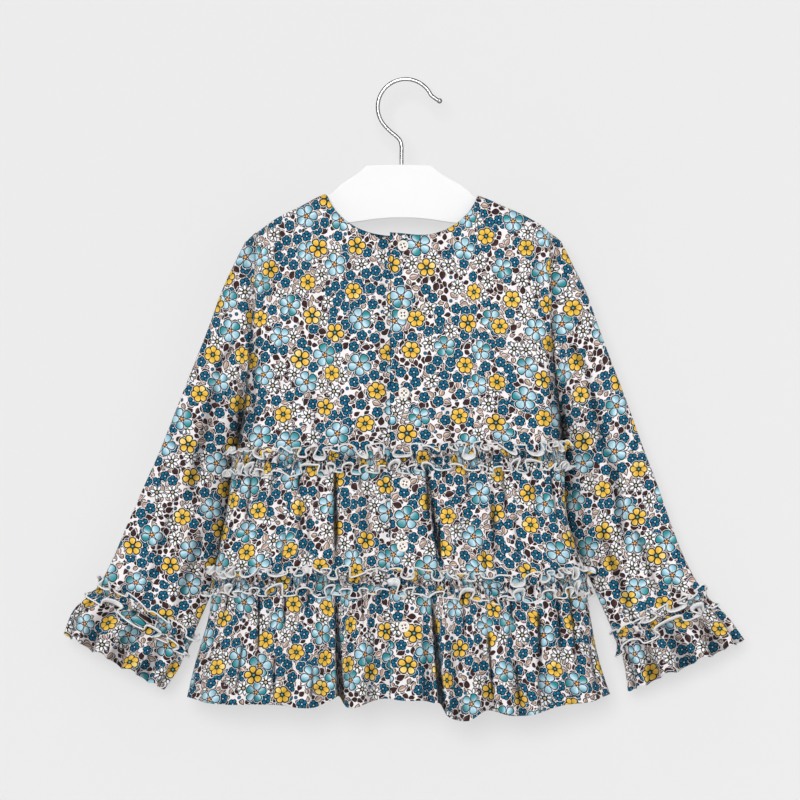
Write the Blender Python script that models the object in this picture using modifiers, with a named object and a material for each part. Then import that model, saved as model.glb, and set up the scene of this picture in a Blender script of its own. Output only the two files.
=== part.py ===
"""A girl's tiered long-sleeved blouse, buttoned down the back, on a flat child's hanger.

Sizes are in millimetres and turned into metres when a mesh is made.  The origin is the inside top
of the hanger's hook, where a rail holds it.  +X is to the right as the buttoned back is looked at,
+Y goes from the buttoned back to the front and +Z is up.
"""
import math

import bpy
import numpy as np
from mathutils import Matrix, Vector

MM = 0.001
WALL = 1.2            # cloth wall
GAP = 0.3             # air between two pieces
SEAM_HALF = 0.2       # half the air between a back panel and a front panel at the side seams
CHEST = 147.0         # half width at the shoulder tips
NOSE = 60.0           # length over which the body rounds in to its side
RIDGE = 22.0          # drop over which the cloth rounds off the hanger's arm
UNDERARM = -271.0
TIP = -153.0          # shoulder tip, top of the armhole
ARMHOLE_EASE = 20.0   # how far short of closing the body is along the armhole
NECK_HALF = 75.0
NECK_POINTS = (-113.0, -115.0)   # heights of the left and right neck points
NECK_LIFT = 60.0      # rise of the line over the neck from which the ridge is measured
BACK_NECK = 42.0      # depth of the neckline under the shoulder's neck points
FRONT_NECK = 64.0
NECK_LEVEL = -120.0   # height at which a bodice column's place across is read
CHEST_LEVEL = -380.0  # the same for its seam
PLACKET = -12.0       # free edge of the upper flap of the back opening
UNDERLAP = 14.0       # free edge of the lower flap
UPPER = PLACKET / CHEST          # the two free edges as positions between the side seams
LOWER = UNDERLAP / CHEST
STAND = 0.12          # the button stand's half width as a position
LAP_FOLD = -0.115     # where the lower flap has gone under the upper one
SUNK = WALL + GAP + 0.1
RUFFLE_HALF = 15.0    # half height of the ruffle strips
RUFFLE_UNEVEN = 2.0   # how much that half height varies
RUFFLE_LIFT = 8.0     # how far a ruffle wave stands off
RUFFLE_FLOOR = 1.8    # how far its troughs stand off
RUFFLE_CLEAR = 0.6    # air under the gathered middle
RUFFLE_WAVES = {"upper": 30, "lower": 36}
TURN_WEIGHT = 10.0    # extra columns where the section turns, in mm of length per radian

# height, left edge, right edge, half depth
BODY = (
    (-100, -146, 148, 12),
    (-153, -146, 148, 13),
    (-271, -152, 151, 16),
    (-340, -159, 158, 17),
    (-380, -167, 161, 18),
    (-435, -175, 164, 22),
    (-475, -183, 175, 25),
    (-500, -188, 182, 26),
    (-535, -192, 187, 28),
    (-580, -205, 196, 31),
    (-625, -216, 211, 33),
)
# across, height of the shoulder and neck line from which the cloth hangs
SHOULDER = (
    (-150, -156), (-146, -153), (-129, -140), (-100, -125), (-75, -113),
    (75, -115), (100, -125), (128, -138), (142, -147), (148, -153), (152, -156),
)
# across, height of the seam under the bodice
SEAM_1 = ((-170, -382), (-60, -379), (60, -377), (165, -375))
# across, height of the seam over the lowest tier
SEAM_2 = ((-190, -501), (-60, -500), (20, -502), (80, -507), (130, -505), (185, -500))
# across, height of the back hem
HEM_BACK = (
    (-216, -616), (-190, -622), (-129, -623), (-88, -626), (-66, -618), (-54, -626), (-20, -617),
    (0, -619), (34, -623), (46, -635), (66, -639), (84, -629), (108, -634), (130, -633),
    (158, -624), (190, -620), (211, -613),
)
HEM_FRONT = ((-216, -616), (-120, -627), (-40, -621), (50, -628), (130, -623), (211, -613))
# share of a panel's height at each of its rows; the bodice also has a row at the underarm
BODICE_ROWS = (0, 0.006, 0.02, 0.05, 0.13, 0.26, 0.40, 0.70, 0.86, 1.0)
# tier: top seam, foot on the back, foot on the front, mean heights of both, waves, depth, rows
TIERS = {
    2: (SEAM_1, SEAM_2, SEAM_2, -379.0, -502.0, 12, 3.6, (0, 0.14, 0.5, 0.86, 1.0)),
    3: (SEAM_2, HEM_BACK, HEM_FRONT, -502.0, -623.0, 15, 5.5, (0, 0.14, 0.42, 0.72, 1.0)),
}
# share of a tier's fullness down its height; tier 2 is drawn in again by the seam at its foot
FULLNESS = {
    2: ((0, 0), (0.14, 0.3), (0.5, 1), (0.86, 0.28), (1, 0)),
    3: ((0, 0), (0.14, 0.21), (0.42, 0.5), (0.72, 0.77), (1, 1)),
}
PHASE_BACK = 0.4
PHASE_FRONT = 1.7
# main folds of the back: tier, across at its top, across at its foot, half width, depth inwards
MAIN_FOLDS = (
    (2, -66, -66, 7, 4.5), (2, 25, 37, 7, 5.0), (2, -100, -104, 6, 2.5), (2, 88, 93, 6, 2.5),
    (3, -65, -62, 8, 9.0), (3, 28, 38, 9, 9.0), (3, -143, -143, 7, 4.0), (3, 88, 91, 7, 5.0),
    (3, 135, 137, 7, 4.0),
)
# sleeve rings: outer across, outer height, outer depth, inner across, inner height, inner depth,
# half thickness; the first ring is the armhole itself
SLEEVE_LEFT = (
    (-157, -163, 0, -155.5, -272, 1, 13),
    (-168, -185, 1, -156, -278, 4, 14),
    (-180, -212, 2, -155, -288, 9, 14),
    (-192, -246, 3, -154, -302, 15, 14),
    (-207, -284, 4, -154, -320, 20, 13),
    (-224, -327, 6, -157, -346, 23, 12),
    (-242, -372, 8, -161, -380, 25, 12),
    (-259, -410, 9, -167, -420, 26, 12),
    (-275, -447, 10, -176, -466, 26, 11),
    (-289, -480, 10, -191, -510, 21, 10),
    (-304, -510, 10, -214, -563, 13, 9),
)
SLEEVE_RIGHT = (
    (159, -162, 0, 154.5, -272, 1, 13),
    (170, -184, 1, 155, -278, 4, 14),
    (183, -211, 2, 154, -288, 9, 14),
    (195, -245, 3, 153, -302, 15, 14),
    (208, -280, 4, 153, -320, 20, 13),
    (224, -322, 6, 155, -346, 23, 12),
    (239, -364, 8, 157, -380, 25, 12),
    (254, -403, 9, 161, -420, 26, 12),
    (269, -446, 10, 172, -460, 25, 11),
    (284, -483, 10, 192, -505, 20, 10),
    (304, -518, 10, 217, -561, 13, 9),
)
# cuff flounce: from the sleeve's last ring to its hem, same columns
FLOUNCE_LEFT = (
    (-311, -516, 10, -218, -570, 12, 11),
    (-326, -530, 10, -225, -586, 12, 14),
    (-336, -555, 10, -240, -608, 12, 16),
)
FLOUNCE_RIGHT = (
    (311, -524, 10, 220, -568, 12, 11),
    (325, -539, 10, 225, -585, 12, 14),
    (340, -561, 10, 229, -610, 12, 16),
)
SLEEVE_COLUMNS = 16
FLOUNCE_WAVES = 10
FLOUNCE_LIFTS = (0.0, 2.0, 3.0, 5.0)     # wave height at each of its rings
FLOUNCE_START = 0.10  # share of the way from the sleeve's last ring to the flounce's first
CUFF_RUFFLE_WAVES = 11
CUFF_RUFFLE_FLOOR = 2.8
CUFF_RUFFLE_LIFT = 4.2
CUFF_RUFFLE_UP = 0.45     # share of the way to the sleeve ring above
CUFF_RUFFLE_DOWN = 0.15   # share of the way between the flounce's first two rings
ARMHOLE_DROP = 1.9    # how far above the underarm point the sleeve's first ring ends
ARMHOLE_CLEAR = 1.3   # extra air at the lower half of the armhole, where the body rounds in
BUTTONS = ((1, -165.5), (1, -234.0), (2, -312.5), (3, -402.5), (0.5, -465.5), (2, -545.5))
BUTTON_R = 5.6
BUTTON_T = 2.2
BUTTON_STEPS = 12
# button profile from the middle of its underside: distance in from the rim, height
BUTTON_PROFILE = (
    (BUTTON_R, 0), (0.6, 0), (0, 0.7), (0.3, BUTTON_T), (1.3, BUTTON_T), (1.9, BUTTON_T - 0.5),
    (BUTTON_R, BUTTON_T - 0.5),
)
HANGER_T = 7.0
ARM_SINK = 1.9        # top of the hanger's arms under the shoulder line
HANGER_EDGE = 1.8     # rounding of the hanger's edges
HANGER_TOP = -84.0
# hanger outline clockwise from the left arm's end; the arms' tops follow the shoulder line
ARM_LEFT = (-138, -120, -100, -85, -75)
NECK_SLOPE_LEFT = (
    (-71, -113), (-67, -109), (-60, -102.5), (-50, -96.5), (-42, -91), (-37.5, -86.5),
    (-35, HANGER_TOP),
)
NECK_SLOPE_RIGHT = (
    (29, HANGER_TOP), (32, -87), (37, -91.5), (46, -97), (58, -103.5), (67, -110), (71.5, -116),
)
ARM_RIGHT = (77, 86, 100, 120, 139)
UNDER_RIGHT = ((143, -153), (141, -158), (120, -154), (95, -148), (70, -144.5))
ARCH = ((49, -142.5), (25, -138.5), (-2, -137), (-25, -138.5), (-44, -141.5))
UNDER_LEFT = ((-70, -144.5), (-95, -149), (-118, -155), (-140, -160), (-142, -156))
WIRE_R = 1.6
HOOK_R = 27.5
HOOK_CENTRE = (3.5, -26.9)
HOOK_FROM = 222       # degrees of the arc, from the bend over the stem to the falling end
HOOK_TO = 26
STEM_X = -0.5
# stem of the hook from the hanger up, measured from its own line
STEM = ((0, HANGER_TOP + GAP), (0, -74.0), (0, -66.0), (-1.2, -60.5), (-5.0, -56.0), (-11.0, -51.0))
HOOK_END = ((31.5, -17.0), (34.0, -19.0))
BALL_ALONG = (0.9, -0.43)
# ball at the hook's end: distance past the wire, size against the wire's
BALL = ((0.6, 1.3), (1.6, 1.55), (2.8, 1.55), (4.0, 1.1), (4.6, 0.45))


def rows(table):
    """The columns of a table as arrays."""
    return np.array(table, float).T


def smooth(at, xs, ys):
    """Cubic Hermite curve through table rows, with the mean of the two slopes at each row."""
    xs = np.asarray(xs, float)
    ys = np.asarray(ys, float)
    if xs[0] > xs[-1]:
        xs = xs[::-1]
        ys = ys[::-1]
    at = np.clip(at, xs[0], xs[-1])
    step = np.diff(xs)
    rise = np.diff(ys) / step
    slope = np.concatenate(([rise[0]], (rise[1:] + rise[:-1]) / 2, [rise[-1]]))
    k = np.clip(np.searchsorted(xs, at, side="right") - 1, 0, len(step) - 1)
    t = (at - xs[k]) / step[k]
    h00 = (1 + 2 * t) * (1 - t) ** 2
    h10 = t * (1 - t) ** 2
    h01 = t * t * (3 - 2 * t)
    h11 = t * t * (t - 1)
    return h00 * ys[k] + h10 * step[k] * slope[k] + h01 * ys[k + 1] + h11 * step[k] * slope[k + 1]


def ease(x):
    """Smooth step from 0 to 1."""
    x = np.clip(x, 0.0, 1.0)
    return x * x * (3 - 2 * x)


def edges(z):
    """Left and right edge of the body at a height."""
    height, left, right, _ = rows(BODY)
    return smooth(z, height, left), smooth(z, height, right)


def across(c, z):
    """Position c, -1 to 1 between the side seams, as a distance across.  The button stand keeps
    its width all the way down, and what lies beyond it is spread out to the side seams."""
    left, right = edges(z)
    c = np.asarray(c, float)
    spread = np.clip((np.abs(c) - STAND) / (1 - STAND), 0, 1)
    return CHEST * c + np.where(c < 0, left + CHEST, right - CHEST) * spread


def position(x, z):
    """The position c that lies at a distance x across."""
    dense = np.linspace(-1, 1, 2001)
    return np.interp(x, across(dense, z), dense)


def shoulder_height(x):
    """Shoulder line, carried on over the neck as a low arch."""
    line = smooth(x, *rows(SHOULDER))
    inside = np.clip(1 - (np.asarray(x) / NECK_HALF) ** 2, 0, 1)
    return line + NECK_LIFT * inside


def neck_height(x, depth):
    """Neckline: a rounded hollow hung between the two neck points."""
    inside = np.clip(1 - np.abs(np.asarray(x) / NECK_HALF) ** 2.6, 0, 1)
    return np.interp(x, (-NECK_HALF, NECK_HALF), NECK_POINTS) - depth * inside ** 0.7


def section(c, z):
    """Half depth and outward direction of the body's flattened section."""
    height, _, _, depth = rows(BODY)
    left, right = edges(z)
    x = across(c, z)
    middle = (TIP + UNDERARM) / 2
    half = (TIP - UNDERARM) / 2
    closing = np.clip(1 - (np.clip(middle - z, 0, None) / half) ** 2, 0, 1)
    inset = np.abs(np.where(np.asarray(c) < 0, left, right) - x) + ARMHOLE_EASE * closing
    cos = 1 - np.clip(inset / NOSE, 0, 1)
    sin = np.sqrt(1 - cos ** 2)
    drop = np.clip((shoulder_height(x) - z) / RIDGE, 0, 1)
    d = smooth(z, height, depth)
    nx = d * cos * np.sign(c)
    ny = NOSE * sin + 1e-6
    length = np.hypot(nx, ny)
    return d * sin * np.sqrt(1 - (1 - drop) ** 2), nx / length, ny / length


def body_point(c, z, side, off=0.0):
    """Point on the body, side -1 at the buttoned back and 1 at the front, moved out by off."""
    d, nx, ny = section(c, z)
    return np.stack([across(c, z) + off * nx, side * (d + off * ny), z + 0 * c], axis=-1)


def fullness(number, t):
    """Share of a fold's depth at a share t down a tier."""
    return np.interp(t, *rows(FULLNESS[number]))


def wave_turn(c, waves, phase):
    """Turns of the gathers' wave up to a position, stretched here and drawn in there."""
    return c * waves / 2 + 0.35 * np.sin(2.6 * c + phase) + 0.16 * np.sin(7.3 * c + 2 * phase)


def fold_wave(c, full, waves, depth, phase):
    """Gathers: uneven waves that fade in below the seam and die out at the side seams."""
    tall = 0.72 + 0.28 * np.sin(4.1 * c + 3 * phase)
    side_fade = 1 - np.clip(np.abs(c), 0, 1) ** 10
    return depth * tall * full * side_fade * np.cos(2 * math.pi * wave_turn(c, waves, phase))


def wave_columns(waves, phase):
    """Positions across that fall on the crests, troughs and slopes of fold_wave."""
    dense = np.linspace(-1, 1, 4001)
    turn = wave_turn(dense, waves, phase)
    quarter = np.arange(math.ceil(turn[0] * 4), math.floor(turn[-1] * 4) + 1) / 4
    return np.interp(quarter, turn, dense)


def main_folds(tier, c, z_top, z_foot, t):
    """The few deep folds of the back, each a soft trough that runs from its top to its foot."""
    total = np.zeros(np.broadcast(c, t).shape)
    for number, top, foot, wide, deep in MAIN_FOLDS:
        if number != tier:
            continue
        x = across(c, z_top + (z_foot - z_top) * t)
        at = top + (foot - top) * t
        total -= deep * fullness(tier, t) * np.exp(-((x - at) / wide) ** 2)
    return total


def placket_fade(x):
    """0 on the stiff button stand, 1 away from it."""
    return ease((np.abs(x) - 17) / 10)


def seam_columns(first, last, extra):
    """Positions across, close together where the section turns, with the extra ones put in."""
    base = np.array([1, 0.9985, 0.992, 0.975, 0.945, 0.9, 0.84, 0.76, 0.66, 0.55, 0.43, 0.3, 0.16])
    every = np.concatenate([-base, [0.0], base, list(extra)])
    every = every[(every > first + 0.004) & (every < last - 0.004)]
    return tidy_columns(np.concatenate([[first], every, [last]]), extra)


def tidy_columns(every, keep=()):
    """Sorted positions with near doubles left out, the ones to keep always in."""
    every = np.unique(np.round(every, 5))
    fixed = set(np.round([every[0], every[-1], *keep], 5))
    out = [every[0]]
    for value in every[1:]:
        near = value - out[-1] < (0.0011 if abs(value) > 0.98 else 0.011)
        if not near:
            out.append(value)
        elif value in fixed:
            if out[-1] in fixed:
                out.append(value)
            else:
                out[-1] = value
    return np.array(out)


def material(name, colour, roughness=0.85):
    """Plain Principled material, made once for each name."""
    found = bpy.data.materials.get(name)
    if found:
        return found
    made = bpy.data.materials.new(name)
    made.use_nodes = True
    shader = made.node_tree.nodes["Principled BSDF"]
    shader.inputs["Base Color"].default_value = (*colour, 1)
    shader.inputs["Roughness"].default_value = roughness
    made.diffuse_color = (*colour, 1)
    return made


def add(name, mesh, finish):
    """A named piece of the blouse from its mesh or curve."""
    made = bpy.data.objects.new(name, mesh)
    made.data.materials.append(finish)
    parts.objects.link(made)
    return made


def cloth(name, grid, finish, round_shape=False, flip=False):
    """Cloth piece: a grid of points as an open surface, thickened outwards by Solidify."""
    tall, wide = grid.shape[:2]
    index = np.arange(tall * wide).reshape(tall, wide)
    if round_shape:
        index = np.hstack([index, index[:, :1]])
    quads = np.stack([index[:-1, :-1], index[1:, :-1], index[1:, 1:], index[:-1, 1:]], axis=-1)
    quads = quads.reshape(-1, 4)
    if flip:
        quads = quads[:, ::-1]
    mesh = bpy.data.meshes.new(name)
    mesh.from_pydata((grid.reshape(-1, 3) * MM).tolist(), [], quads.tolist())
    mesh.shade_smooth()
    made = add(name, mesh, finish)
    wall = made.modifiers.new("Wall", "SOLIDIFY")
    wall.thickness = WALL * MM
    wall.offset = 1
    wall.use_even_offset = True
    wall.thickness_clamp = 1.2
    return made


def panel(name, columns, heights, side, off, finish):
    """Body panel from column positions and rows of heights, heights[row, column]."""
    c = np.broadcast_to(columns, heights.shape)
    grid = body_point(c, heights, side, off)
    grid[..., 1] += side * SEAM_HALF
    return cloth(name, grid, finish, flip=side > 0)


def underlap(x):
    """How far the lower flap is sunk under the upper one."""
    return -SUNK * ease((x + 34) / 16)


def bodice(name, first, last, side, neck, finish, sunk=False):
    """Bodice panel from the shoulders and the neckline down to the first seam."""
    neck_x = np.array([-80, -NECK_HALF, -73.8, -70, 70, 73.8, NECK_HALF, 80])
    extra = [n for n in position(neck_x, NECK_LEVEL) if first < n < last]
    if sunk:
        extra += [-0.26, -0.17, LAP_FOLD]
    columns = seam_columns(first, last, extra)
    x = across(columns, NECK_LEVEL)
    in_neck = np.abs(x) < NECK_HALF + 0.01
    top = np.where(in_neck, neck_height(x, neck), shoulder_height(x))
    foot = smooth(across(columns, CHEST_LEVEL), *rows(SEAM_1)) + GAP / 2
    armhole = (TIP - UNDERARM) / (TIP - foot[0])
    share = np.sort(np.append(BODICE_ROWS, armhole))
    heights = top + (foot - top) * share[:, None]
    off = underlap(across(columns, heights)) if sunk else 0.0
    return panel(name, columns, heights, side, off, finish)


def tier_columns(number, first, last, side, phase):
    """Positions across of a tier: the gathers' crests and troughs, the main folds, the turns at
    the side seams and, on the back, both edges and the fold of the button stand."""
    _, _, _, z_top, z_foot, waves, _, _ = TIERS[number]
    every = [*wave_columns(waves, phase), *(s * v for s in (-1, 1) for v in (0.9985, 0.99, 0.97))]
    keep = []
    if side < 0:
        for fold, top, foot, wide, _ in MAIN_FOLDS:
            if fold == number:
                x = (top + foot) / 2 + wide * np.array([-0.9, 0, 0.9])
                every += list(position(x, (z_top + z_foot) / 2))
        every = [e for e in every if abs(e) > STAND + 0.01]
        keep = [k for k in (LAP_FOLD, 0.0, LOWER) if first < k < last]
    every = [e for e in every if first < e < last]
    return tidy_columns([first, *every, *keep, last], keep)


def tier(name, number, first, last, side, phase, finish, sunk=False):
    """Gathered panel of a tier, between the seam above it and its foot."""
    seam_top, foot_back, foot_front, z_top, z_foot, waves, depth, share = TIERS[number]
    seam_foot = foot_back if side < 0 else foot_front
    columns = tier_columns(number, first, last, side, phase)
    share = np.array(share)[:, None]
    top = smooth(across(columns, z_top), *rows(seam_top)) - GAP / 2
    foot = smooth(across(columns, z_foot), *rows(seam_foot))
    if number == 2:
        foot = foot + GAP / 2
    heights = top + (foot - top) * share
    t = np.broadcast_to(share, heights.shape)
    c = np.broadcast_to(columns, heights.shape)
    off = fold_wave(c, fullness(number, t), waves, depth, phase)
    if side < 0:
        off = (off + main_folds(number, c, z_top, z_foot, t)) * placket_fade(across(c, heights))
    if sunk:
        off = off + underlap(across(c, heights))
    return panel(name, columns, heights, side, off, finish)


def ring_path(z, count):
    """Columns all round the body at one height: from the upper flap's edge by way of the right
    side, the front and the left side back to the placket.  They are even along the section, and
    closer where it turns."""
    start = (PLACKET + 1) / CHEST
    end = (PLACKET - 2.5) / CHEST
    towards = 1 - (1 - np.linspace(0, 1, 800)) ** 3
    c = np.concatenate([start + (1 - start) * towards,
                        np.sin(np.linspace(math.pi / 2, -math.pi / 2, 1600)),
                        -1 + (end + 1) * (1 - towards[::-1])])
    side = np.concatenate([-np.ones(800), np.ones(1600), -np.ones(800)])
    point = body_point(c, np.full(c.shape, z), side)
    _, nx, ny = section(c, np.full(c.shape, z))
    turn = np.unwrap(np.arctan2(side * ny, nx))
    length = np.hypot(np.diff(point[:, 0]), np.diff(point[:, 1])) + TURN_WEIGHT * np.abs(np.diff(turn))
    run = np.concatenate([[0], np.cumsum(length)])
    at = np.linspace(0, run[-1], count)
    place = np.interp(at, run, np.arange(len(c)))
    near = np.round(place).astype(int)
    c_at = np.interp(place, np.arange(len(c)), c)
    return c_at, side[near]


def ruffle(name, seam, z_mid, waves, phase, finish):
    """Strip gathered along its middle over a seam, with both edges standing off in waves."""
    c, side = ring_path(z_mid, waves * 4 + 1)
    middle = smooth(across(c, z_mid), *rows(seam))
    rise = np.array([1.0, 0.0, -1.0])[:, None]
    turn = np.arange(len(c)) / 4.0
    wave = 0.5 + 0.5 * np.cos(2 * math.pi * turn + 0.8 * rise)
    tall = 0.75 + 0.25 * np.sin(turn * 2.1 + phase)
    close = 0.3 + 0.7 * ease((1 - np.abs(c)) / 0.12)
    lift = np.abs(rise) * (RUFFLE_FLOOR + RUFFLE_LIFT * wave * tall * close)
    off = WALL + RUFFLE_CLEAR + lift
    high = RUFFLE_HALF + RUFFLE_UNEVEN * np.sin(turn * 1.3 + phase + rise)
    heights = middle + rise * high
    grid = body_point(np.broadcast_to(c, heights.shape), heights, side, off)
    return cloth(name, grid, finish)


def armhole_ring(sign, count):
    """First ring of a sleeve: the armhole's own line, a seam's gap further out."""
    turn = np.arange(count) * 2 * math.pi / count
    low = UNDERARM + ARMHOLE_DROP
    z = (TIP + low) / 2 + (TIP - low) / 2 * np.cos(turn)
    c = np.full(count, float(sign))
    d, _, _ = section(c, z)
    lower = ease(((TIP + UNDERARM) / 2 - z) / (TIP - UNDERARM) * 2)
    x = across(c, z) + sign * (GAP + ARMHOLE_CLEAR * lower)
    return np.stack([x, d * np.sin(turn) / (np.abs(np.sin(turn)) + 1e-6), z], axis=-1)


def ring(row, count, waves=0, lift=0.0):
    """Flattened ring between an outer and an inner point, moved out by lift, or by waves of that
    height.  Turn 0 is at the outer point."""
    ox, oz, oy, ix, iz, iy, half = row
    turn = np.arange(count) * 2 * math.pi / count
    outer = np.array([ox, oy, oz], float)
    inner = np.array([ix, iy, iz], float)
    share = (0.5 - 0.5 * np.cos(turn))[:, None]
    chord = outer + (inner - outer) * share
    out_y = np.sin(turn)
    point = chord.copy()
    point[:, 1] += half * out_y
    along = (inner - outer) / np.linalg.norm(inner - outer)
    normal = np.outer(-np.cos(turn) * half, along)
    normal[:, 1] += np.linalg.norm(inner - outer) / 2 * out_y
    normal /= np.linalg.norm(normal, axis=1)[:, None]
    wave = 1.0
    if waves:
        wave = np.cos(turn * waves) * (0.3 + 0.7 * np.abs(np.sin(turn)))
    return point + normal * (np.ones(count) * lift * wave)[:, None]


def tube(name, rings, finish, sign):
    """Open tube of cloth through rings, on the left arm, -1, or the right arm, 1."""
    return cloth(name, np.array(rings), finish, round_shape=True, flip=sign > 0)


def cuff_ruffle(name, row_up, seam_row, row_down, finish, sign):
    """Strip gathered along its middle over the sleeve's lower seam."""
    count = CUFF_RUFFLE_WAVES * 4
    turn = np.arange(count) * 2 * math.pi / count
    wave = (0.5 + 0.5 * np.cos(turn * CUFF_RUFFLE_WAVES)) * (0.3 + 0.7 * np.abs(np.sin(turn)))
    stand_off = CUFF_RUFFLE_FLOOR + CUFF_RUFFLE_LIFT * wave
    close = WALL + RUFFLE_CLEAR
    rings = [ring(row_up, count, lift=close + stand_off), ring(seam_row, count, lift=close),
             ring(row_down, count, lift=close + stand_off)]
    return tube(name, rings, finish, sign)


def mix(row_a, row_b, share):
    """Ring row a share of the way from one row to another."""
    return tuple(a + (b - a) * share for a, b in zip(row_a, row_b))


def arm(label, sign, sleeve_table, flounce_table):
    """Sleeve, the flounce below its lower seam, and the ruffle strip over that seam."""
    sleeve = [ring(row, SLEEVE_COLUMNS) for row in sleeve_table]
    tube("sleeve_" + label, [armhole_ring(sign, SLEEVE_COLUMNS), *sleeve], print_a, sign)
    wrist = sleeve_table[-1]
    flounce_rows = (mix(wrist, flounce_table[0], FLOUNCE_START), *flounce_table)
    flounce = [ring(row, FLOUNCE_WAVES * 4, FLOUNCE_WAVES, lift)
               for row, lift in zip(flounce_rows, FLOUNCE_LIFTS)]
    tube("cuff_flounce_" + label, flounce, print_c, sign)
    up = mix(wrist, sleeve_table[-2], CUFF_RUFFLE_UP)
    down = mix(flounce_table[0], flounce_table[1], CUFF_RUFFLE_DOWN)
    cuff_ruffle("sleeve_ruffle_" + label, up, wrist, down, frill, sign)


def button(name, x, z, finish):
    """Turned disc with a raised rim, laid on the upper flap."""
    c = np.array([x / CHEST])
    place = body_point(c, np.array([z]), -1, WALL + GAP)[0]
    above = body_point(c, np.array([z + BUTTON_R]), -1, WALL + GAP)[0]
    mesh = bpy.data.meshes.new(name)
    edge_list = [(k, k + 1) for k in range(len(BUTTON_PROFILE) - 1)]
    points = [((BUTTON_R - inset) * MM, 0, high * MM) for inset, high in BUTTON_PROFILE]
    mesh.from_pydata(points, edge_list, [])
    made = add(name, mesh, finish)
    turn = made.modifiers.new("Turned", "SCREW")
    turn.steps = BUTTON_STEPS
    turn.render_steps = BUTTON_STEPS
    turn.use_merge_vertices = True
    turn.merge_threshold = 0.0001
    turn.use_normal_calculate = True
    up = Vector(above - place).normalized()
    out = Vector((1, 0, 0)).cross(up).normalized()
    right = up.cross(out)
    frame = Matrix((right, up, out)).transposed().to_4x4()
    frame.translation = Vector(place) * MM
    made.matrix_world = frame
    return made


def hanger(finish):
    """Flat hanger: a top bar, hollow slopes, arms that follow the shoulders and a low arch."""
    left_top = [(x, float(shoulder_height(x)) - ARM_SINK) for x in ARM_LEFT]
    right_top = [(x, float(shoulder_height(x)) - ARM_SINK) for x in ARM_RIGHT]
    outline = [*left_top, *NECK_SLOPE_LEFT, *NECK_SLOPE_RIGHT, *right_top, *UNDER_RIGHT, *ARCH,
               *UNDER_LEFT]
    curve = bpy.data.curves.new("hanger_body", "CURVE")
    curve.dimensions = "2D"
    curve.fill_mode = "BOTH"
    curve.extrude = (HANGER_T / 2 - HANGER_EDGE) * MM
    curve.bevel_depth = HANGER_EDGE * MM
    curve.bevel_resolution = 1
    curve.offset = -HANGER_EDGE * MM
    line = curve.splines.new("POLY")
    line.points.add(len(outline) - 1)
    for point, (x, z) in zip(line.points, outline):
        point.co = (x * MM, z * MM, 0, 1)
    line.use_cyclic_u = True
    made = add("hanger_body", curve, finish)
    made.rotation_euler = (math.pi / 2, 0, 0)
    return made


def hook(finish):
    """Wire hook: a stem, a bend to the left, an arc over the rail and a small ball at its end."""
    turn = np.radians(np.linspace(HOOK_FROM, HOOK_TO, 17))
    stem = np.array(STEM) + (STEM_X, 0)
    arc = np.array(HOOK_CENTRE) + HOOK_R * np.stack([np.cos(turn), np.sin(turn)], axis=-1)
    path = np.concatenate([stem, arc, HOOK_END])
    curve = bpy.data.curves.new("hanger_hook", "CURVE")
    curve.dimensions = "3D"
    curve.fill_mode = "FULL"
    curve.bevel_depth = WIRE_R * MM
    curve.bevel_resolution = 2
    curve.use_fill_caps = True
    line = curve.splines.new("POLY")
    line.points.add(len(path) + len(BALL) - 1)
    for point, (x, z) in zip(line.points, path):
        point.co = (x * MM, 0, z * MM, 1)
    for point, (step, size) in zip(list(line.points)[len(path):], BALL):
        x, z = path[-1] + np.array(BALL_ALONG) * step
        point.co = (x * MM, 0, z * MM, 1)
        point.radius = size
    return add("hanger_hook", curve, finish)


for old in list(bpy.data.objects):
    bpy.data.objects.remove(old)
parts = bpy.data.collections.new("tiered_blouse")
bpy.context.scene.collection.children.link(parts)

print_a = material("floral_cloth", (0.32, 0.45, 0.52))
print_b = material("floral_cloth_back", (0.36, 0.50, 0.56))
print_c = material("floral_cloth_tier", (0.28, 0.42, 0.50))
frill = material("floral_frill", (0.72, 0.66, 0.48))
resin = material("cream_resin", (0.86, 0.78, 0.68), 0.35)
white = material("white_plastic", (0.9, 0.9, 0.9), 0.3)
steel = material("steel_wire", (0.6, 0.6, 0.62), 0.25)
steel.node_tree.nodes["Principled BSDF"].inputs["Metallic"].default_value = 1.0

bodice("bodice_back_left", -1.0, LOWER, -1, BACK_NECK, print_a, sunk=True)
bodice("bodice_back_right", UPPER, 1.0, -1, BACK_NECK, print_b)
bodice("bodice_front", -1.0, 1.0, 1, FRONT_NECK, print_a)
for number in TIERS:
    label = "tier%d_" % number
    tier(label + "back_left", number, -1.0, LOWER, -1, PHASE_BACK, print_c, sunk=True)
    tier(label + "back_right", number, UPPER, 1.0, -1, PHASE_BACK, print_b)
    tier(label + "front", number, -1.0, 1.0, 1, PHASE_FRONT, print_c)
ruffle("ruffle_upper", SEAM_1, TIERS[2][3], RUFFLE_WAVES["upper"], 0.3, frill)
ruffle("ruffle_lower", SEAM_2, TIERS[3][3], RUFFLE_WAVES["lower"], 1.1, frill)
arm("left", -1, SLEEVE_LEFT, FLOUNCE_LEFT)
arm("right", 1, SLEEVE_RIGHT, FLOUNCE_RIGHT)

for k, (x, z) in enumerate(BUTTONS):
    button("button_%d" % (k + 1), x, z, resin)
hanger(white)
hook(steel)
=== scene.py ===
import math

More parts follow.
